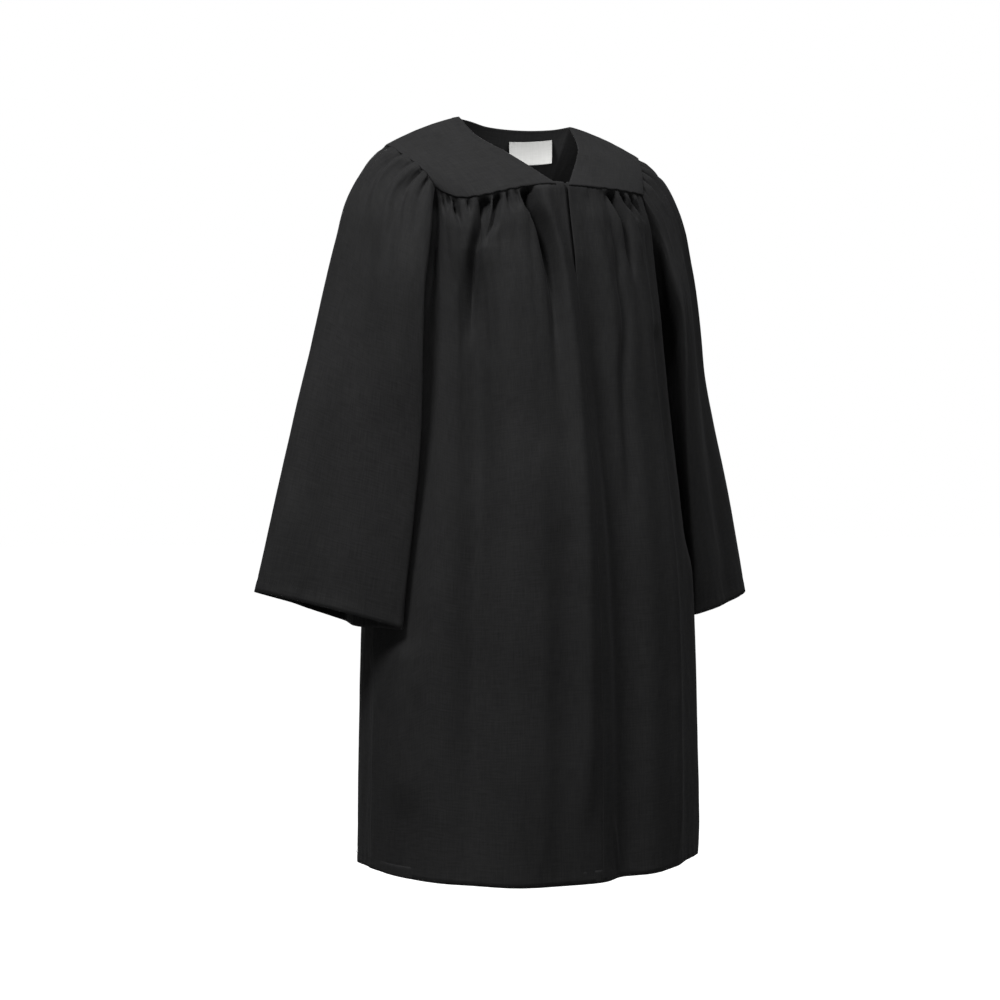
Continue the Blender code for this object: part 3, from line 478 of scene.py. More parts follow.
def curve_through(start, middle, end, t):
    """Points on the parabola that runs through three points."""
    a, b, c = np.asarray(start), np.asarray(middle), np.asarray(end)
    t = t[:, None]
    return a * (2 * t - 1) * (t - 1) + b * 4 * t * (1 - t) + c * t * (2 * t - 1)


def side_of(angle):
    """Side of the gown that an angle lies on."""
    return np.where(wrap_angle(angle) >= 0.0, "left", "right")


def sign_of(side):
    """Sign of x on a side."""
    return 1.0 if side == "left" else -1.0


def wrap_angle(angle):
    """The angle between minus half a turn and half a turn."""
    return (angle + math.pi) % (2.0 * math.pi) - math.pi


def mirrored(points, side):
    """Points of the +X side, set on a side."""
    return points * np.array((sign_of(side), 1.0, 1.0))


def body_section(z):
    """Half width, half depth and middle of the body at heights."""
    return through_rows(BODY_SECTIONS, z).T


def body_base(angle, z):
    """The body without folds."""
    width, depth, middle = body_section(z)
    return np.stack((width * np.sin(angle), middle - depth * np.cos(angle), z), axis=1)


def top_edge_z(angle):
    """Height of the seam that tops the body: yoke seam, armhole or back yoke seam."""
    angle = wrap_angle(angle)
    turn = np.abs(angle)
    height = np.full(angle.shape, BACK_SEAM_Z)
    for side, here in (("left", angle >= 0.0), ("right", angle < 0.0)):
        yoke = YOKE_SIDES[side]
        corner = math.radians(yoke["corner_deg"])
        front = through_rows(yoke["seam"], np.degrees(turn))[:, 0]
        rise = np.clip((UNDERARM - turn) / (UNDERARM - corner), 0, 1) ** ARMHOLE_FRONT_POWER
        arm = UNDERARM_Z + (yoke["seam"][-1][1] - UNDERARM_Z) * rise
        height = np.where(here & (turn <= UNDERARM), arm, height)
        height = np.where(here & (turn <= corner), front, height)
    rise = np.clip((turn - UNDERARM) / (BACK_CORNER - UNDERARM), 0, 1) ** ARMHOLE_BACK_POWER
    behind = (turn > UNDERARM) & (turn <= BACK_CORNER)
    return np.where(behind, UNDERARM_Z + (BACK_SEAM_Z - UNDERARM_Z) * rise, height)


def gather_wave(turn_deg, below, low_deg, high_deg, gathers, phase):
    """Uneven gathers between two angles, highest a little below the seam."""
    inside = smooth_step((turn_deg - low_deg) / GATHER_EDGE_DEG)
    inside = inside * smooth_step((high_deg - turn_deg) / GATHER_EDGE_DEG)
    count = (turn_deg - low_deg) / (high_deg - low_deg) * gathers
    uneven = 1.0 - GATHER_UNEVEN + GATHER_UNEVEN * np.sin(GATHER_UNEVEN_RATE * count + phase)
    along = smooth_step(below / GATHER_START)
    along = along * np.exp(-np.maximum(below, 0.0) / (GATHER_LENGTH * uneven))
    wave = 0.5 - 0.5 * np.cos(2.0 * math.pi * count)
    return GATHER_HEIGHT * uneven * wave * along * inside


def fold_line(folds, degrees, z, rise, foot):
    """Height of folds that run from a top over a middle to a foot."""
    relief = np.zeros(z.shape)
    for top_deg, top_z, mid_deg, mid_z, foot_deg, foot_z, height, half_width in folds:
        line = hermite((top_z, mid_z, foot_z), [[top_deg], [mid_deg], [foot_deg]], z)[:, 0]
        away = (degrees - line + 180.0) % 360.0 - 180.0
        start = smooth_step((top_z - z) / rise)
        end = smooth_step((z - foot_z) / foot + 0.5)
        relief += height * bell(away / half_width) * start * end
    return relief


def front_folds(degrees, z):
    """Height of the placed folds of the fronts."""
    relief = np.zeros(z.shape)
    for height, half_width, nodes in FRONT_FOLDS:
        table = np.array(nodes)
        line = hermite(table[:, 1], table[:, :1], z)[:, 0]
        rise = CREASE_RISE + CREASE_SLOPE * half_width
        start = smooth_step((table[0, 1] + CREASE_LEAD - z) / rise)
        foot = min(CREASE_FOOT_SHARE * (table[0, 1] - table[-1, 1]), CREASE_FOOT_LONGEST)
        end = smooth_step((z - table[-1, 1]) / foot)
        relief += height * bell((degrees - line) / half_width) * start * end
    for height, half_width, nodes in DEEP_FOLDS:
        table = np.array(nodes)
        line, share = hermite(table[:, 1], table[:, ::2], z).T
        relief += height * share * bell((degrees - line) / half_width)
    return relief


def body_relief(angle, z):
    """Height of folds and gathers over the plain body."""
    angle = wrap_angle(angle)
    degrees = np.degrees(angle)
    below = top_edge_z(angle) - z
    relief = fold_line(BODY_FOLDS, degrees, z, FOLD_RISE, FOLD_FOOT) * smooth_step(below / SEAM_RISE)
    for side in ("right", "left"):
        yoke = YOKE_SIDES[side]
        wave = gather_wave(np.abs(degrees), below, yoke["gathers_from"], yoke["corner_deg"],
                           yoke["gathers"], 1.3 * sign_of(side))
        relief += np.where(side_of(angle) == side, wave, 0.0)
    low = math.degrees(BACK_CORNER)
    return relief + gather_wave(degrees % 360.0, below, low, 360.0 - low, BACK_GATHERS, 0.6)


# Uneven ground: sums of waves with set phases

def waves(seed, count, low, high):
    """Table of waves: rate across, rate along and phase of each."""
    chance = np.random.default_rng(seed)
    across = chance.uniform(low, high, count)
    along = chance.uniform(-0.35, 0.35, count) * across
    return np.stack((across, along, chance.uniform(0.0, 2.0 * math.pi, count)), axis=1)


def ripple(table, across, along):
    """Smooth unevenness between about -1 and 1, longer down the cloth than across it."""
    total = np.zeros(across.shape)
    for x_rate, y_rate, phase in table:
        total += np.sin(across * x_rate + along * y_rate + phase)
    return total / math.sqrt(0.5 * len(table)) * 0.5


BROAD = waves(11, 7, 25.0, 90.0)
FINE = waves(12, 9, 150.0, 420.0)
CRINKLE = waves(13, 10, 500.0, 1100.0)


def cloth_ground(across, along, below):
    """Slight drape between the placed folds; across and along are in metres on the cloth."""
    near_seam = np.exp(-np.maximum(below, 0.0) / SEAM_REACH)
    fine = FINE_HEIGHT + FINE_AT_SEAM * near_seam * smooth_step(below / SEAM_START)
    crinkle = CRINKLE_HEIGHT + CRINKLE_AT_SEAM * near_seam
    drape = DRAPE * ripple(BROAD, across, along) * smooth_step(below / DRAPE_RISE)
    return drape + fine * ripple(FINE, across, along) + crinkle * ripple(CRINKLE, across, along)


def hem_relief(above, along):
    """Groove of the hem stitching, the puffed band under it and small puckers along it."""
    turn = along * 2.0 * math.pi
    pucker = 1.0 - PUCKER + PUCKER * np.sin(turn / PUCKER_PITCH) * np.sin(along * PUCKER_RATE)
    groove = -HEM_GROOVE * pucker * bell((above - HEM_BAND) / HEM_GROOVE_HALF)
    puff = HEM_PUFF * pucker * smooth_step((HEM_BAND - above) / HEM_PUFF_FADE)
    draw = HEM_DRAW * np.sin(turn / HEM_DRAW_PITCH) * np.exp(-np.abs(above - HEM_BAND) / HEM_DRAW_REACH)
    return groove + puff + draw


def hem_height(angle):
    """Height of the body's hem."""
    return through_rows(HEM_HEIGHTS, np.degrees(wrap_angle(angle)))[:, 0]


def body_form(angle, share):
    """Outer face of the body as in its solid."""
    top = top_edge_z(angle)
    z = top + (hem_height(angle) - top) * share
    width, depth = body_section(z)[:2]
    out = unit(np.stack((np.sin(angle) / width, -np.cos(angle) / depth, 0.0 * z), axis=1))
    return body_base(angle, z) + out * body_relief(angle, z)[:, None]


def normal_of(surface, u, v, turned):
    """Normals of a surface, or their opposites where turned is -1."""
    du = surface(u + DIFF, v) - surface(u - DIFF, v)
    dv = surface(u, np.minimum(v + DIFF, 1.0)) - surface(u, np.maximum(v - DIFF, 0.0))
    return unit(np.cross(du, dv)) * turned


def tucked(surface, turned, u, v, length):
    """The surface with a strip above v 0 that goes on straight and sinks under its neighbour."""
    inside = np.maximum(v, 0.0)
    points = surface(u, inside)
    normal = normal_of(surface, u, inside, turned)
    ahead = np.minimum(inside + DIFF, 1.0)
    down = unit(surface(u, ahead) - surface(u, ahead - DIFF))
    beyond = np.minimum(v, 0.0)[:, None] * length
    sink = smooth_step(-v * length / TUCK)[:, None] * TUCK_DROP
    roll = bell(inside * length / EDGE_ROLL_WIDTH)[:, None] * EDGE_ROLL
    return points + down * beyond - normal * (sink + roll), normal


def lap_offset(points):
    """How far the right front drops under the left one beside the slit."""
    x, z = points[:, 0], points[:, 2]
    across = smooth_step((x - LAP_FROM_X) / (LAP_TO_X - LAP_FROM_X))
    return LAP_DROP * across * smooth_step((z - SLIT_END_Z + SLIT_LEAD) / LAP_FADE)


def body_sheet(angle, v, part):
    """Body shell: its solid's form with finer folds, hem and edges."""
    points, normal = tucked(body_form, -1.0, angle, v, BODY_LENGTH)
    z = points[:, 2]
    below = top_edge_z(angle) - z
    along = angle * BODY_RADIUS
    above_hem = z - hem_height(angle)
    under_seam = smooth_step((below + CREASE_EDGE) / CREASE_EDGE_FADE)
    relief = front_folds(np.degrees(wrap_angle(angle)), z) * under_seam
    relief += back_creases(angle, z, below)
    relief += fullness(angle, below)
    relief += cloth_ground(along, z, below)
    relief += hem_relief(above_hem, along)
    points = points + normal * relief[:, None]
    at_slit = smooth_step((z - SLIT_END_Z + SLIT_LEAD) / SLIT_FADE)
    if part == "front_right":
        past = points[:, 0] + UNDERLAP_WIDTH * at_slit
        under = UNDERLAP_DROP * smooth_step(past / UNDERLAP_WIDTH)
        points = points - normal * (lap_offset(points) + under)[:, None]
    if part == "front_left":
        roll = bell(np.maximum(points[:, 0], 0.0) / SLIT_ROLL_WIDTH) * SLIT_ROLL
        points = points - normal * (roll * at_slit)[:, None]
    return points, normal


def fullness(angle, below):
    """The gathered cloth comes out from under the yoke and rounds over."""
    turn = np.abs(np.degrees(wrap_angle(angle)))
    gathered = smooth_step((turn - FULL_FROM_DEG) / FULL_FADE_DEG)
    gathered = gathered * smooth_step((FULL_TO_DEG - turn) / FULL_END_FADE_DEG)
    gathered = gathered + smooth_step((turn - FULL_BEHIND_DEG) / FULL_FADE_DEG)
    rise = smooth_step(below / FULL_RISE) * np.exp(-np.maximum(below, 0.0) / FULL_LENGTH)
    return FULLNESS * gathered * rise


def back_creases(angle, z, below):
    """Short uneven creases in the gathers behind, like those that show in front."""
    chance = np.random.default_rng(BACK_CREASE_SEED)
    relief = np.zeros(z.shape)
    degrees = np.degrees(angle) % 360.0
    for i in range(BACK_CREASES):
        middle = BACK_CREASES_FROM + BACK_CREASES_SPAN * (i + chance.uniform(0.1, 0.9)) / BACK_CREASES
        lean = chance.uniform(-1.0, 1.0) * BACK_CREASE_LEAN
        depth, length = chance.uniform(*BACK_CREASE_DEPTH), chance.uniform(*BACK_CREASE_LENGTH)
        line = middle + lean * np.clip(below, 0.0, BACK_CREASE_LEAN_TO)
        fade = np.exp(-np.maximum(below, 0.0) / length) * smooth_step(below / BACK_CREASE_START)
        relief -= depth * bell((degrees - line) / chance.uniform(*BACK_CREASE_HALF_WIDTH)) * fade
    return relief


def fall_curve(top, start, seam, t):
    """Curve that leaves the top along a given way and comes down onto the seam."""
    reach = np.linalg.norm(seam - top, axis=1, keepdims=True)
    m, n, t = start * reach, np.array(SEAM_FALL) * reach, t[:, None]
    return (top * (2 * t ** 3 - 3 * t ** 2 + 1) + m * (t ** 3 - 2 * t ** 2 + t)
            + seam * (3 * t ** 2 - 2 * t ** 3) + n * (t ** 3 - t ** 2))


def yoke_side_edge(side, t, back):
    """Edge of the yoke from the shoulder tip, 0, to its corner, 1, on the +X side."""
    yoke = YOKE_SIDES[side]
    if back:
        corner = body_base(np.full(t.shape, BACK_CORNER), np.full(t.shape, BACK_SEAM_Z))
        return fall_curve(row_of(yoke["tip"], len(t)), row_of(SHOULDER_FALL, len(t)), corner, t)
    one = np.ones(1)
    corner = body_base(one * math.radians(yoke["corner_deg"]), one * yoke["seam"][-1][1])[0]
    return curve_through(yoke["tip"], yoke["front"], corner, t)


def armhole_points(side, turn):
    """Seam round the sleeve head on the +X side. Turn runs from the shoulder tip to the front."""
    turn = turn % 1.0
    corner = math.radians(YOKE_SIDES[side]["corner_deg"])
    fore = corner + (UNDERARM - corner) * (turn - 0.25) / 0.25
    hind = UNDERARM + (BACK_CORNER - UNDERARM) * (turn - 0.5) / 0.25
    angle = np.clip(np.where(turn <= 0.5, fore, hind), corner, BACK_CORNER)
    points = body_base(angle, top_edge_z(sign_of(side) * angle))
    on_front = yoke_side_edge(side, np.clip(turn / 0.25, 0.0, 1.0), False)
    on_back = yoke_side_edge(side, np.clip((1.0 - turn) / 0.25, 0.0, 1.0), True)
    points = np.where((turn <= 0.25)[:, None], on_front, points)
    return np.where((turn >= 0.75)[:, None], on_back, points)


def sleeve_ring(side, row):
    """Eight points round one ring of a sleeve on the +X side."""
    x_column, z_column = (1, 2) if side == "right" else (3, 4)
    outer = Vector((row[x_column], 0.0, row[z_column]))
    front, back = Vector(row[5:8]), Vector(row[10:13])
    under = Vector((row[8], UNDERARM_Y, row[9]))
    across_front, across_back = outer - front, outer - back
    front_out = Vector((across_front.y, -across_front.x, 0.0)).normalized()
    back_out = Vector((-across_back.y, across_back.x, 0.0)).normalized()
    front_mid = (outer + front) * 0.5 + front_out * SLEEVE_BULGE
    back_mid = (outer + back) * 0.5 + back_out * SLEEVE_BULGE
    near_hem = float(smooth_step(row[0] * 4.0 - 3.0))
    lift = Vector((0.0, 0.0, SLEEVE_HEM_LIFT * near_hem))
    if side == "left":
        front.z += LEFT_HEM_LIFT * near_hem
        back.z += LEFT_HEM_LIFT * near_hem
    sag = 1.0 - float(smooth_step(row[0] / ARMPIT_SAG_SHARE))
    front_under = (front + under) * 0.5 + Vector(ARMPIT_FRONT_SAG) * sag
    back_under = (back + under) * 0.5 + Vector(ARMPIT_BACK_SAG) * sag
    return (outer, front_mid + lift, front, front_under, under, back_under, back, back_mid + lift)


def closed_curve(points, turn):
    """Smooth closed curve through eight points."""
    places = np.array(points + points + points)
    turns = np.arange(len(places)) / 8.0 - 1.0
    return hermite(turns, places, turn % 1.0)


def sleeve_base(side, turn, share):
    """A sleeve without folds, on the +X side."""
    keys = [0.0] + [row[0] for row in SLEEVE_RINGS]
    curves = [armhole_points(side, turn)]
    curves += [closed_curve(sleeve_ring(side, row), turn) for row in SLEEVE_RINGS]
    return hermite(keys, np.array(curves), share)


def turn_folds(folds, turn, share, rise):
    """Height of the folds of a sleeve, which run down it from a place round its head."""
    relief = np.zeros(turn.shape)
    for top_turn, top_share, foot_turn, foot_share, height, half_width in folds:
        way = np.clip((share - top_share) / (foot_share - top_share), 0.0, 1.0)
        away = (turn - top_turn - (foot_turn - top_turn) * way + 0.5) % 1.0 - 0.5
        start = smooth_step((share - top_share) / rise)
        end = smooth_step((foot_share - share) / SLEEVE_FOLD_RISE)
        relief += height * bell(away / half_width) * start * end
    return relief


def sleeve_form(side, turn, share):
    """Outer face of a sleeve on the +X side, as in its solid."""
    def plain(u, v):
        return sleeve_base(side, u, v)

    round_it = (turn + 0.5) % 1.0 - 0.5
    inside = smooth_step((SLEEVE_GATHER_SPAN - np.abs(round_it)) / SLEEVE_FADE)
    swing = np.sin(SLEEVE_GATHER_UNEVEN_RATE * round_it + len(side))
    uneven = 1.0 - SLEEVE_GATHER_UNEVEN + SLEEVE_GATHER_UNEVEN * swing
    wave = 0.5 - 0.5 * np.cos(2.0 * math.pi * SLEEVE_GATHERS * round_it)
    along = 0.25 + 0.75 * smooth_step(share / SLEEVE_GATHER_START)
    along = along * np.exp(-share / (SLEEVE_GATHER_LENGTH * uneven))
    relief = SLEEVE_GATHER_HEIGHT * wave * uneven * along * inside
    relief += turn_folds(SLEEVE_FOLDS[side], round_it, share, SLEEVE_FOLD_RISE)
    return plain(turn, share) + normal_of(plain, turn, share, 1.0) * relief[:, None]


def head_creases(side, turn, share):
    """Sharp creases between the puffs of a sleeve head, uneven in place, depth and length."""
    chance = np.random.default_rng(HEAD_SEEDS[side])
    relief = np.zeros(turn.shape)
    for i in range(-HEAD_CREASES_EACH_WAY, HEAD_CREASES_EACH_WAY + 1):
        middle = i / SLEEVE_GATHERS + chance.uniform(*HEAD_SHIFT)
        lean, length = chance.uniform(*HEAD_LEAN), chance.uniform(*HEAD_LENGTH)
        depth, half_width = chance.uniform(*HEAD_DEPTH), chance.uniform(*HEAD_HALF_WIDTH)
        fade = smooth_step((share + HEAD_LEAD) / HEAD_START) * np.exp(-share / length)
        relief -= depth * bell((turn - middle - lean * share) / half_width) * fade
    return relief


def sleeve_sheet(side, turn, v):
    """Sleeve shell on the +X side."""
    def form(u, w):
        return sleeve_form(side, u, w)

    points, normal = tucked(form, 1.0, turn, v, SLEEVE_LENGTH)
    share = np.maximum(v, 0.0)
    below = share * SLEEVE_LENGTH
    round_it = (turn + 0.5) % 1.0 - 0.5
    ring = round_it * SLEEVE_RING
    fade = smooth_step((0.5 - np.abs(round_it)) / SLEEVE_FADE)
    relief = turn_folds(SLEEVE_CREASES[side], round_it, share, SLEEVE_CREASE_RISE)
    relief += head_creases(side, round_it, share)
    relief += cloth_ground(ring + GROUND_SHIFT * sign_of(side), points[:, 2], below) * fade
    relief += hem_relief((1.0 - share) * SLEEVE_LENGTH, ring) * (0.3 + 0.7 * fade)
    return points + normal * relief[:, None], normal


def coons(top, bottom, left, right, u, v):
    """Patch between four curves. U runs along top and bottom, V from top to bottom."""
    zero, one, a, b = np.zeros(1), np.ones(1), u[:, None], v[:, None]
    across = left(v) * (1 - a) + right(v) * a
    down = top(u) * (1 - b) + bottom(u) * b
    corners = (top(zero) * (1 - a) * (1 - b) + top(one) * a * (1 - b)
               + bottom(zero) * (1 - a) * b + bottom(one) * a * b)
    return across + down - corners


def shoulder_line(neck, tip, t):
    """Shoulder seam from the neck to the tip, bowed up a little."""
    bow = np.stack((0.0 * t, 0.0 * t, SHOULDER_BOW * 4.0 * t * (1.0 - t)), axis=1)
    return neck + (tip - neck) * t[:, None] + bow


def front_yoke(side, u, v):
    """Front yoke. U runs from the neckline to the sleeve, V from the shoulder to the seam."""
    yoke = YOKE_SIDES[side]
    sign = sign_of(side)
    corner = math.radians(yoke["corner_deg"]) * sign
    start = math.asin(yoke["v_end"] / body_section(np.array([SEAM_Z_MIDDLE]))[0, 0])
    neck = mirrored(np.array(NECK_POINT), side)
    tip = mirrored(np.array(yoke["tip"]), side)

    def seam(t):
        angle = start + (corner - start) * t
        return body_base(angle, top_edge_z(angle))

    def neckline(t):
        end = mirrored(seam(np.zeros(1))[0], side)
        return mirrored(through_rows(FRONT_NECK_EDGE + ((1.0, *end),), t), side)

    def sleeve_edge(t):
        return mirrored(yoke_side_edge(side, t, False), side)

    return coons(lambda t: shoulder_line(neck, tip, t), seam, neckline, sleeve_edge, u, v)


def back_yoke_top(u):
    """Top edge of the back yoke, from the right shoulder tip round the neck to the left one."""
    angle = math.pi * (2.0 - u)
    height = through_rows(BACK_NECK_HEIGHTS, np.clip(np.degrees(angle), 0.0, 180.0))[:, 0]
    points = np.stack((NECK_POINT[0] * np.cos(angle), BACK_NECK_DEPTH * np.sin(angle), height), axis=1)
    for side, t, here in (("right", 1.0 - u, u < 1.0), ("left", u - 2.0, u > 2.0)):
        end = mirrored(np.array(NECK_POINT), side)
        tip = mirrored(np.array(YOKE_SIDES[side]["tip"]), side)
        points = np.where(here[:, None], shoulder_line(end, tip, t), points)
    return points


def back_yoke(u, v):
    """Back yoke. U runs from 0, right, to 3, left: shoulder, neck, shoulder."""
    side = np.where(u < 1.5, -1.0, 1.0)
    across = np.minimum(u, 3.0 - u)
    at_neck = np.stack((side * NECK_POINT_FALL[0], 0.0 * u + NECK_POINT_FALL[1],
                        0.0 * u + NECK_POINT_FALL[2]), axis=1)
    mix = np.clip(across, 0.0, 1.0)[:, None]
    on_shoulder = np.array(SHOULDER_FALL) * (1.0 - mix) + at_neck * mix
    behind = smooth_step((across - 1.0) * 2.0)[:, None]
    start = np.where((across < 1.0)[:, None], on_shoulder,
                     at_neck * (1.0 - behind) + np.array(NECK_FALL) * behind)
    turn = np.where(across < 1.0, BACK_CORNER + (BACK_SEAM_UNDER_NECK - BACK_CORNER) * across,
                    BACK_SEAM_UNDER_NECK + (math.pi - BACK_SEAM_UNDER_NECK) * (across - 1.0) * 2.0)
    seam = body_base(side * turn, np.full(u.shape, BACK_SEAM_Z))
    return fall_curve(back_yoke_top(u), start, seam, v)


def yoke_lift(v, from_neck):
    """Yokes lie over the seams: raised a little, rolled down at the edges."""
    at_seam = bell(np.maximum(1.0 - v, 0.0) * YOKE_LENGTH / YOKE_ROLL_WIDTH)
    rise = YOKE_PROUD + YOKE_RISE * smooth_step(v) - EDGE_ROLL * at_seam
    return rise - NECK_ROLL * bell(from_neck * YOKE_LENGTH / EDGE_ROLL_WIDTH)


# Meshes

def cloth_grid(columns, rows):
    """Flat grid and the places of its points across and down, from 0 to 1."""
    bm = bmesh.new()
    bm.loops.layers.uv.new("UVMap")
    bmesh.ops.create_grid(bm, x_segments=columns, y_segments=rows, size=0.5, calc_uvs=True)
    places = np.array([vert.co[:2] for vert in bm.verts])
    low, high = places.min(axis=0), places.max(axis=0)
    share = (places - low) / (high - low)
    return bm, share[:, 0], 1.0 - share[:, 1]


def set_places(bm, points):
    """Move the vertices to the points."""
    for vert, point in zip(bm.verts, points):
        vert.co = point


def set_uvs(bm, width, length):
    """UVs in metres along the cloth, so that the weave has its real size."""
    layer = bm.loops.layers.uv.active
    for face in bm.faces:
        for loop in face.loops:
            uv = loop[layer].uv
            loop[layer].uv = (uv.x * width, uv.y * length)


def add_object(name, data):
    """A new object in the scene."""
    item = bpy.data.objects.new(name, data)
    bpy.context.scene.collection.objects.link(item)
    return item


def finish_piece(bm, name, material):
    """A named object made of the mesh, which follows the gown's body."""
    mesh = bpy.data.meshes.new(name)
    bm.to_mesh(mesh)
    bm.free()
    mesh.shade_smooth()
    mesh.materials.append(material)
    piece = add_object(name, mesh)
    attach(piece, "root")
    return piece


def face_along(bm, normal):
    """Turn the faces so that they look the way the surface does."""
    bm.faces.ensure_lookup_table()
    face = bm.faces[len(bm.faces) // 2]
    face.normal_update()
    if face.normal.dot(Vector(normal[face.verts[0].index])) < 0.0:
        bmesh.ops.reverse_faces(bm, faces=bm.faces)


def shell(name, grid, size, surface, material, wall, closed=False):
    """Cloth shell on a surface that gives points and normals for shares across and down."""
    bm, across, down = cloth_grid(*grid)
    set_uvs(bm, *size)
    points, normal = surface(across, down)
    set_places(bm, points)
    bm.verts.index_update()
    face_along(bm, normal)
    if closed:
        bmesh.ops.remove_doubles(bm, verts=bm.verts, dist=0.00002)
    piece = finish_piece(bm, name, material)
    thick = piece.modifiers.new("wall", "SOLIDIFY")
    thick.thickness = wall
    thick.offset = -1.0
    thick.use_even_offset = False
    return piece


def crowded(t, strength):
    """Rows that lie closer together near the top."""
    return t * (1.0 - strength) + strength * t * t


def body_shell(name, part, low_deg, high_deg, grid, material):
    """Panel of the body between two angles."""
    low, high = math.radians(low_deg), math.radians(high_deg)
    start = -TUCK / BODY_LENGTH

    def surface(across, down):
        angle = low + (high - low) * across
        return body_sheet(angle, start + (1.0 - start) * crowded(down, BODY_CROWDING), part)

    size = (abs(high - low) * BODY_RADIUS, BODY_LENGTH)
    return shell(name, grid, size, surface, material, CLOTH)


def sleeve_shell(side, material):
    """Sleeve, closed under the arm."""
    start = -TUCK / SLEEVE_LENGTH

    def surface(across, down):
        v = start + (1.0 - start) * crowded(down, SLEEVE_CROWDING)
        points, normal = sleeve_sheet(side, across, v)
        return mirrored(points, side), mirrored(normal, side)

    size = (SLEEVE_GIRTH, SLEEVE_LENGTH)
    return shell(side + "_sleeve", SLEEVE_GRID, size, surface, material, CLOTH, closed=True)


def pushed_edges(yoke, across, down):
    """Shares across and down, drawn back where the puffs push the yoke's edges."""
    puff = 0.5 - 0.5 * np.cos(2.0 * math.pi * SLEEVE_GATHERS * 0.25 * down)
    push = EDGE_PUSH * puff * (0.6 + 0.4 * np.sin(down * PUSH_RATE))
    push = push * np.exp((across - 1.0) / EDGE_PUSH_REACH)
    past = across * yoke["corner_deg"] - yoke["gathers_from"]
    count = past / (yoke["corner_deg"] - yoke["gathers_from"]) * yoke["gathers"]
    rise = (0.5 - 0.5 * np.cos(2.0 * math.pi * count)) * smooth_step(past / GATHER_EDGE_DEG)
    sink = SEAM_PUSH * rise * np.exp((down - 1.0) / EDGE_PUSH_REACH)
    return across - push / YOKE_LENGTH, down - sink / YOKE_LENGTH


def front_yoke_shell(side, material):
    """Front yoke, two cloths thick."""
    def form(u, v):
        return front_yoke(side, u, v)

    def surface(across, down):
        across, down = pushed_edges(YOKE_SIDES[side], across, down)
        points = form(across, down)
        normal = normal_of(form, across, down, -sign_of(side))
        wave = ripple(FINE, across * 0.09 + sign_of(side), down * 0.08)
        lift = yoke_lift(down, across) + YOKE_WAVE * wave
        return points + normal * lift[:, None], normal

    size = (YOKE_WIDTH, YOKE_LENGTH)
    return shell(side + "_front_yoke", YOKE_GRID, size, surface, material, 2.0 * CLOTH)


def back_yoke_shell(material):
    """Back yoke, two cloths thick."""
    def surface(across, down):
        u = np.clip(across * 3.0, 0.00001, 2.99999)
        points = back_yoke(u, down)
        normal = normal_of(back_yoke, u, down, 1.0)
        lift = yoke_lift(down, down) + YOKE_WAVE * ripple(FINE, u * 0.12, down * 0.1)
        return points + normal * lift[:, None], normal

    return shell("back_yoke", BACK_YOKE_GRID, BACK_YOKE_SIZE, surface, material, 2.0 * CLOTH)


def body_hem(material):
    """Band turned up inside the body hem."""
    def surface(across, down):
        angle = math.pi * 2.0 * across
        share = 1.0 - (1.0 - down) * HEM_TURN_UP / BODY_LENGTH
        points, normal = body_sheet(angle, share, "hem")
        return points - normal * (CLOTH + HEM_GAP), normal

    size = (1.0, HEM_BAND)
    return shell("body_hem_band", BODY_HEM_GRID, size, surface, material, HEM_CLOTH, closed=True)


def sleeve_hem(side, material):
    """Band turned up inside a sleeve's hem."""
    def surface(across, down):
        share = 1.0 - (1.0 - down) * HEM_TURN_UP / SLEEVE_LENGTH
        points, normal = sleeve_sheet(side, across, share)
        return mirrored(points - normal * (CLOTH + HEM_GAP), side), mirrored(normal, side)

    name, size = side + "_sleeve_hem_band", (SLEEVE_GIRTH, HEM_BAND)
    return shell(name, SLEEVE_HEM_GRID, size, surface, material, HEM_CLOTH, closed=True)


def stitches(name, points, normals, material):
    """A row of short threads along a line of points, every second space left open."""
    steps = np.linalg.norm(np.diff(points, axis=0), axis=1)
    reach = np.concatenate(([0.0], np.cumsum(steps)))
    places = np.arange(STITCH_PITCH * 0.5, reach[-1], STITCH_PITCH)
    bm = bmesh.new()
    for place in places:
        here = Vector([np.interp(place, reach, points[:, axis]) for axis in range(3)])
        after = Vector([np.interp(place + 0.0005, reach, points[:, axis]) for axis in range(3)])
        out = Vector([np.interp(place, reach, normals[:, axis]) for axis in range(3)]).normalized()
        along = (after - here).normalized()
        aside = out.cross(along).normalized()
        turn = Matrix((along, aside, out)).transposed().to_4x4()
        size = Matrix.Diagonal((STITCH_LENGTH * 0.5, STITCH_RADIUS, STITCH_RADIUS, 1.0))
        place_it = Matrix.Translation(here) @ turn @ size
        bmesh.ops.create_uvsphere(bm, u_segments=6, v_segments=4, radius=1.0, matrix=place_it)
    return finish_piece(bm, name, material)


def label_shell(material):
    """Label that hangs plumb from its top edge inside the back neck."""
    middle = 2.0 - LABEL_ANGLE / math.pi
    reach = 0.5 * LABEL_WIDTH / (math.pi * 0.5 * (NECK_POINT[0] + BACK_NECK_DEPTH))
    ends = back_yoke(np.array([middle, middle]), np.array([0.0, 1.0]))
    drop = np.linalg.norm(ends[1] - ends[0])

    def surface(across, down):
        u = middle + reach * (2.0 * across - 1.0)
        v = np.full(u.shape, LABEL_BELOW_EDGE / drop)
        normal = normal_of(back_yoke, u, v, 1.0)
        level = unit(normal * np.array((1.0, 1.0, 0.0)))
        curl = LABEL_CURL * smooth_step((down - 0.5) * 2.0) * (0.6 + 0.4 * np.cos(across * 5.0))
        fall = np.stack((0.0 * down, 0.0 * down, -LABEL_HEIGHT * down), axis=1)
        points = back_yoke(u, v) - normal * LABEL_OFF + fall - level * curl[:, None]
        return points, -level

    size = (LABEL_WIDTH, LABEL_HEIGHT)
    return shell("neck_label_tag", LABEL_GRID, size, surface, material, LABEL_CLOTH)


# Materials

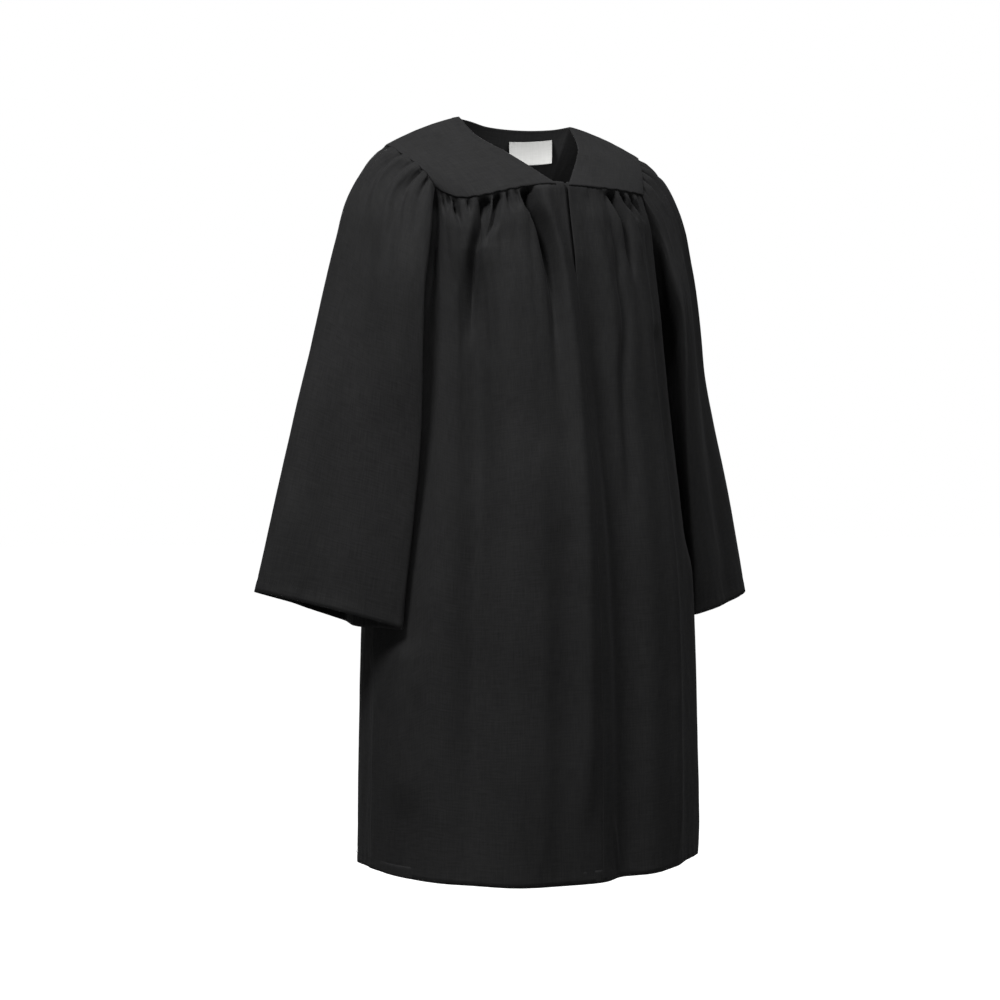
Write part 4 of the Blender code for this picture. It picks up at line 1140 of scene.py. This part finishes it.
def group_with(name, inputs, outputs):
    """An empty node group with its sockets."""
    group = bpy.data.node_groups.new(name, "ShaderNodeTree")
    for label, kind, value in inputs:
        socket = group.interface.new_socket(label, in_out="INPUT", socket_type=kind)
        if value is not None:
            socket.default_value = value
    for label, kind in outputs:
        group.interface.new_socket(label, in_out="OUTPUT", socket_type=kind)
    return group, group.nodes.new("NodeGroupInput"), group.nodes.new("NodeGroupOutput")


def math_node(tree, operation, a, b=0.0):
    """A sum of one or two values or sockets."""
    node = tree.nodes.new("ShaderNodeMath")
    node.operation = operation
    for socket, value in zip(node.inputs, (a, b)):
        if isinstance(value, (int, float)):
            socket.default_value = value
        else:
            tree.links.new(value, socket)
    return node.outputs[0]


def weave_group():
    """Fine twill: threads across and down, a slanting rib and uneven yarn."""
    group, given, result = group_with(
        "fine_twill",
        [("UV", "NodeSocketVector", None), ("Thread", "NodeSocketFloat", 0.0009)],
        [("Height", "NodeSocketFloat"), ("Shade", "NodeSocketFloat")])
    split = group.nodes.new("ShaderNodeSeparateXYZ")
    group.links.new(given.outputs["UV"], split.inputs[0])
    turn = math_node(group, "DIVIDE", 2.0 * math.pi, given.outputs["Thread"])
    across = math_node(group, "MULTIPLY", split.outputs[0], turn)
    down = math_node(group, "MULTIPLY", split.outputs[1], turn)
    warp = math_node(group, "SINE", across)
    weft = math_node(group, "SINE", down)
    rib = math_node(group, "SINE", math_node(group, "ADD", math_node(group, "MULTIPLY", across, 0.5),
                                             math_node(group, "MULTIPLY", down, 0.5)))
    yarn = []
    for scale in YARN_SCALES:
        stretch = group.nodes.new("ShaderNodeMapping")
        stretch.inputs["Scale"].default_value = scale
        group.links.new(given.outputs["UV"], stretch.inputs["Vector"])
        noise = group.nodes.new("ShaderNodeTexNoise")
        noise.inputs["Scale"].default_value = 1.0
        noise.inputs["Detail"].default_value = 2.0
        group.links.new(stretch.outputs[0], noise.inputs["Vector"])
        yarn.append(noise.outputs["Fac"])
    slub = math_node(group, "ADD", yarn[0], yarn[1])
    threads = math_node(group, "MULTIPLY", math_node(group, "MULTIPLY", warp, weft), THREAD_HEIGHT)
    height = math_node(group, "ADD", threads, math_node(group, "MULTIPLY", rib, RIB_HEIGHT))
    height = math_node(group, "ADD", height, math_node(group, "MULTIPLY", slub, YARN_HEIGHT))
    group.links.new(height, result.inputs["Height"])
    group.links.new(math_node(group, "MULTIPLY", slub, 0.5), result.inputs["Shade"])
    return group


WEAVE = weave_group()


def mix_colours(tree, mask, dark, light):
    """Colour between two others."""
    node = tree.nodes.new("ShaderNodeMix")
    node.data_type = "RGBA"
    tree.links.new(mask, node.inputs["Factor"])
    node.inputs[6].default_value = (*dark, 1.0)
    node.inputs[7].default_value = (*light, 1.0)
    return node.outputs[2]


def between(tree, mask, low, high, to_low, to_high):
    """Value that goes between two others as the mask goes from low to high."""
    node = tree.nodes.new("ShaderNodeMapRange")
    tree.links.new(mask, node.inputs["Value"])
    for label, value in (("From Min", low), ("From Max", high), ("To Min", to_low), ("To Max", to_high)):
        node.inputs[label].default_value = value
    return node.outputs["Result"]


def new_material(name):
    """A material with its tree and its shader."""
    material = bpy.data.materials.new(name)
    material.use_nodes = True
    return material, material.node_tree, material.node_tree.nodes["Principled BSDF"]


def object_noise(tree, scale, detail):
    """Noise that stays on the object."""
    place = tree.nodes.new("ShaderNodeTexCoord")
    noise = tree.nodes.new("ShaderNodeTexNoise")
    noise.inputs["Scale"].default_value = scale
    noise.inputs["Detail"].default_value = detail
    tree.links.new(place.outputs["Object"], noise.inputs["Vector"])
    return noise.outputs["Fac"]


def cloth_material(name, dark, light, thread, rough, sheen):
    """Woven cloth with slight patches."""
    material, tree, shader = new_material(name)
    uv = tree.nodes.new("ShaderNodeUVMap")
    uv.uv_map = "UVMap"
    weave = tree.nodes.new("ShaderNodeGroup")
    weave.node_tree = WEAVE
    weave.inputs["Thread"].default_value = thread
    tree.links.new(uv.outputs[0], weave.inputs["UV"])
    patches = object_noise(tree, PATCH_SCALE, 3.0)
    worn = math_node(tree, "ADD", math_node(tree, "MULTIPLY", weave.outputs["Shade"], 1.0 - PATCH_SHARE),
                     math_node(tree, "MULTIPLY", patches, PATCH_SHARE))
    mask = between(tree, worn, 0.35, 0.65, 0.0, 1.0)
    tree.links.new(mix_colours(tree, mask, dark, light), shader.inputs["Base Color"])
    gloss = between(tree, worn, 0.3, 0.7, rough + ROUGHNESS_SWING, rough - ROUGHNESS_SWING)
    tree.links.new(gloss, shader.inputs["Roughness"])
    shader.inputs["Specular IOR Level"].default_value = CLOTH_SPECULAR
    shader.inputs["Sheen Weight"].default_value = sheen
    shader.inputs["Sheen Roughness"].default_value = SHEEN_ROUGHNESS
    shader.inputs["Sheen Tint"].default_value = SHEEN_TINT
    bump = tree.nodes.new("ShaderNodeBump")
    bump.inputs["Strength"].default_value = BUMP_STRENGTH
    bump.inputs["Distance"].default_value = BUMP_DISTANCE
    tree.links.new(weave.outputs["Height"], bump.inputs["Height"])
    tree.links.new(bump.outputs[0], shader.inputs["Normal"])
    return material


def thread_material():
    """Black sewing thread."""
    material, tree, shader = new_material("black_sewing_thread")
    twist = object_noise(tree, THREAD_TWIST, 2.0)
    tree.links.new(mix_colours(tree, twist, *THREAD_COLOURS), shader.inputs["Base Color"])
    tree.links.new(between(tree, twist, 0.3, 0.7, *THREAD_ROUGHNESS), shader.inputs["Roughness"])
    shader.inputs["Specular IOR Level"].default_value = THREAD_SPECULAR
    return material


def make_gown():
    """All pieces of the gown by node, and its hem bands and stitching by node."""
    gown = {}
    cloth = {}
    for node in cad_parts:
        cloth[node] = cloth_material(node + "_black_twill", *BLACK_TWILL)
    label_cloth = cloth_material("white_label_satin", *WHITE_SATIN)
    for node, (name, low_deg, high_deg, grid) in BODY_PANELS.items():
        gown[node] = body_shell(name, node, low_deg, high_deg, grid, cloth[node])
    for side in ("right", "left"):
        gown["sleeve_" + side] = sleeve_shell(side, cloth["sleeve_" + side])
        gown["yoke_front_" + side] = front_yoke_shell(side, cloth["yoke_front_" + side])
    gown["yoke_back"] = back_yoke_shell(cloth["yoke_back"])
    gown["neck_label"] = label_shell(label_cloth)
    for node, piece in gown.items():
        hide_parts(node)
    hems = {"back": [body_hem(cloth["back"])]}
    for side in ("right", "left"):
        hems["sleeve_" + side] = [sleeve_hem(side, cloth["sleeve_" + side])]
    thread = thread_material()
    angle = np.linspace(-math.pi, math.pi, 721)
    points, normal = body_sheet(angle, np.full(angle.shape, 1.0 - HEM_BAND / BODY_LENGTH), "hem")
    hems["back"].append(stitches("body_hem_stitching", points, normal, thread))
    turn = np.linspace(0.0, 1.0, 481)
    for side in ("right", "left"):
        points, normal = sleeve_sheet(side, turn, np.full(turn.shape, 1.0 - HEM_BAND / SLEEVE_LENGTH))
        points, normal = mirrored(points, side), mirrored(normal, side)
        hems["sleeve_" + side].append(stitches(side + "_sleeve_hem_stitching", points, normal, thread))
    return gown, hems


def make_floor():
    """Plain floor under the gown, pale for the camera."""
    pale, tree, shader = new_material("pale_floor")
    shader.inputs["Base Color"].default_value = FLOOR_COLOUR
    shader.inputs["Roughness"].default_value = 0.9
    shader.inputs["Specular IOR Level"].default_value = 0.0
    path = tree.nodes.new("ShaderNodeLightPath")
    glow = between(tree, path.outputs["Is Camera Ray"], 0.0, 1.0, 0.0, FLOOR_GLOW)
    tree.links.new(glow, shader.inputs["Emission Strength"])
    shader.inputs["Emission Color"].default_value = WHITE
    bm = bmesh.new()
    bmesh.ops.create_grid(bm, x_segments=4, y_segments=4, size=FLOOR_REACH)
    bmesh.ops.translate(bm, verts=bm.verts, vec=(0.0, 0.0, cad_low.z - FLOOR_BELOW))
    mesh = bpy.data.meshes.new("floor")
    bm.to_mesh(mesh)
    bm.free()
    mesh.materials.append(pale)
    add_object("floor", mesh)


def make_studio():
    """White surroundings, floor and soft lights."""
    world = bpy.data.worlds.new("studio")
    world.use_nodes = True
    tree = world.node_tree
    backdrop = tree.nodes["Background"]
    backdrop.inputs["Color"].default_value = WHITE
    path = tree.nodes.new("ShaderNodeLightPath")
    strength = between(tree, path.outputs["Is Camera Ray"], 0.0, 1.0, SURROUNDINGS, 1.0)
    tree.links.new(strength, backdrop.inputs["Strength"])
    bpy.context.scene.world = world
    make_floor()
    for name, place, power, size in LIGHTS:
        lamp = bpy.data.lights.new(name, "AREA")
        lamp.energy = power
        lamp.size = size
        light = add_object(name, lamp)
        light.location = place
        way = Vector(place) - Vector(LOOK_AT)
        light.rotation_euler = way.to_track_quat("Z", "Y").to_euler()
    inside = bpy.data.lights.new("inside_fill", "POINT")
    inside.energy = INSIDE_POWER
    inside.shadow_soft_size = INSIDE_SIZE
    add_object("inside_fill", inside).location = INSIDE_LIGHT


def make_camera():
    """Camera at the photo's angle."""
    turn = math.radians(VIEW_DEG)
    back = Vector((math.sin(turn), -math.cos(turn), 0.0))
    right = Vector((math.cos(turn), math.sin(turn), 0.0))
    lens = bpy.data.cameras.new("camera")
    lens.lens = LENS
    lens.sensor_width = 36.0
    camera = add_object("camera", lens)
    camera.location = Vector(LOOK_AT) + back * CAMERA_DISTANCE - right * CAMERA_ASIDE
    camera.rotation_euler = back.to_track_quat("Z", "Y").to_euler()
    bpy.context.scene.camera = camera
    bpy.context.scene.view_settings.view_transform = "Standard"


make_camera()
gown, hems = make_gown()
make_studio()
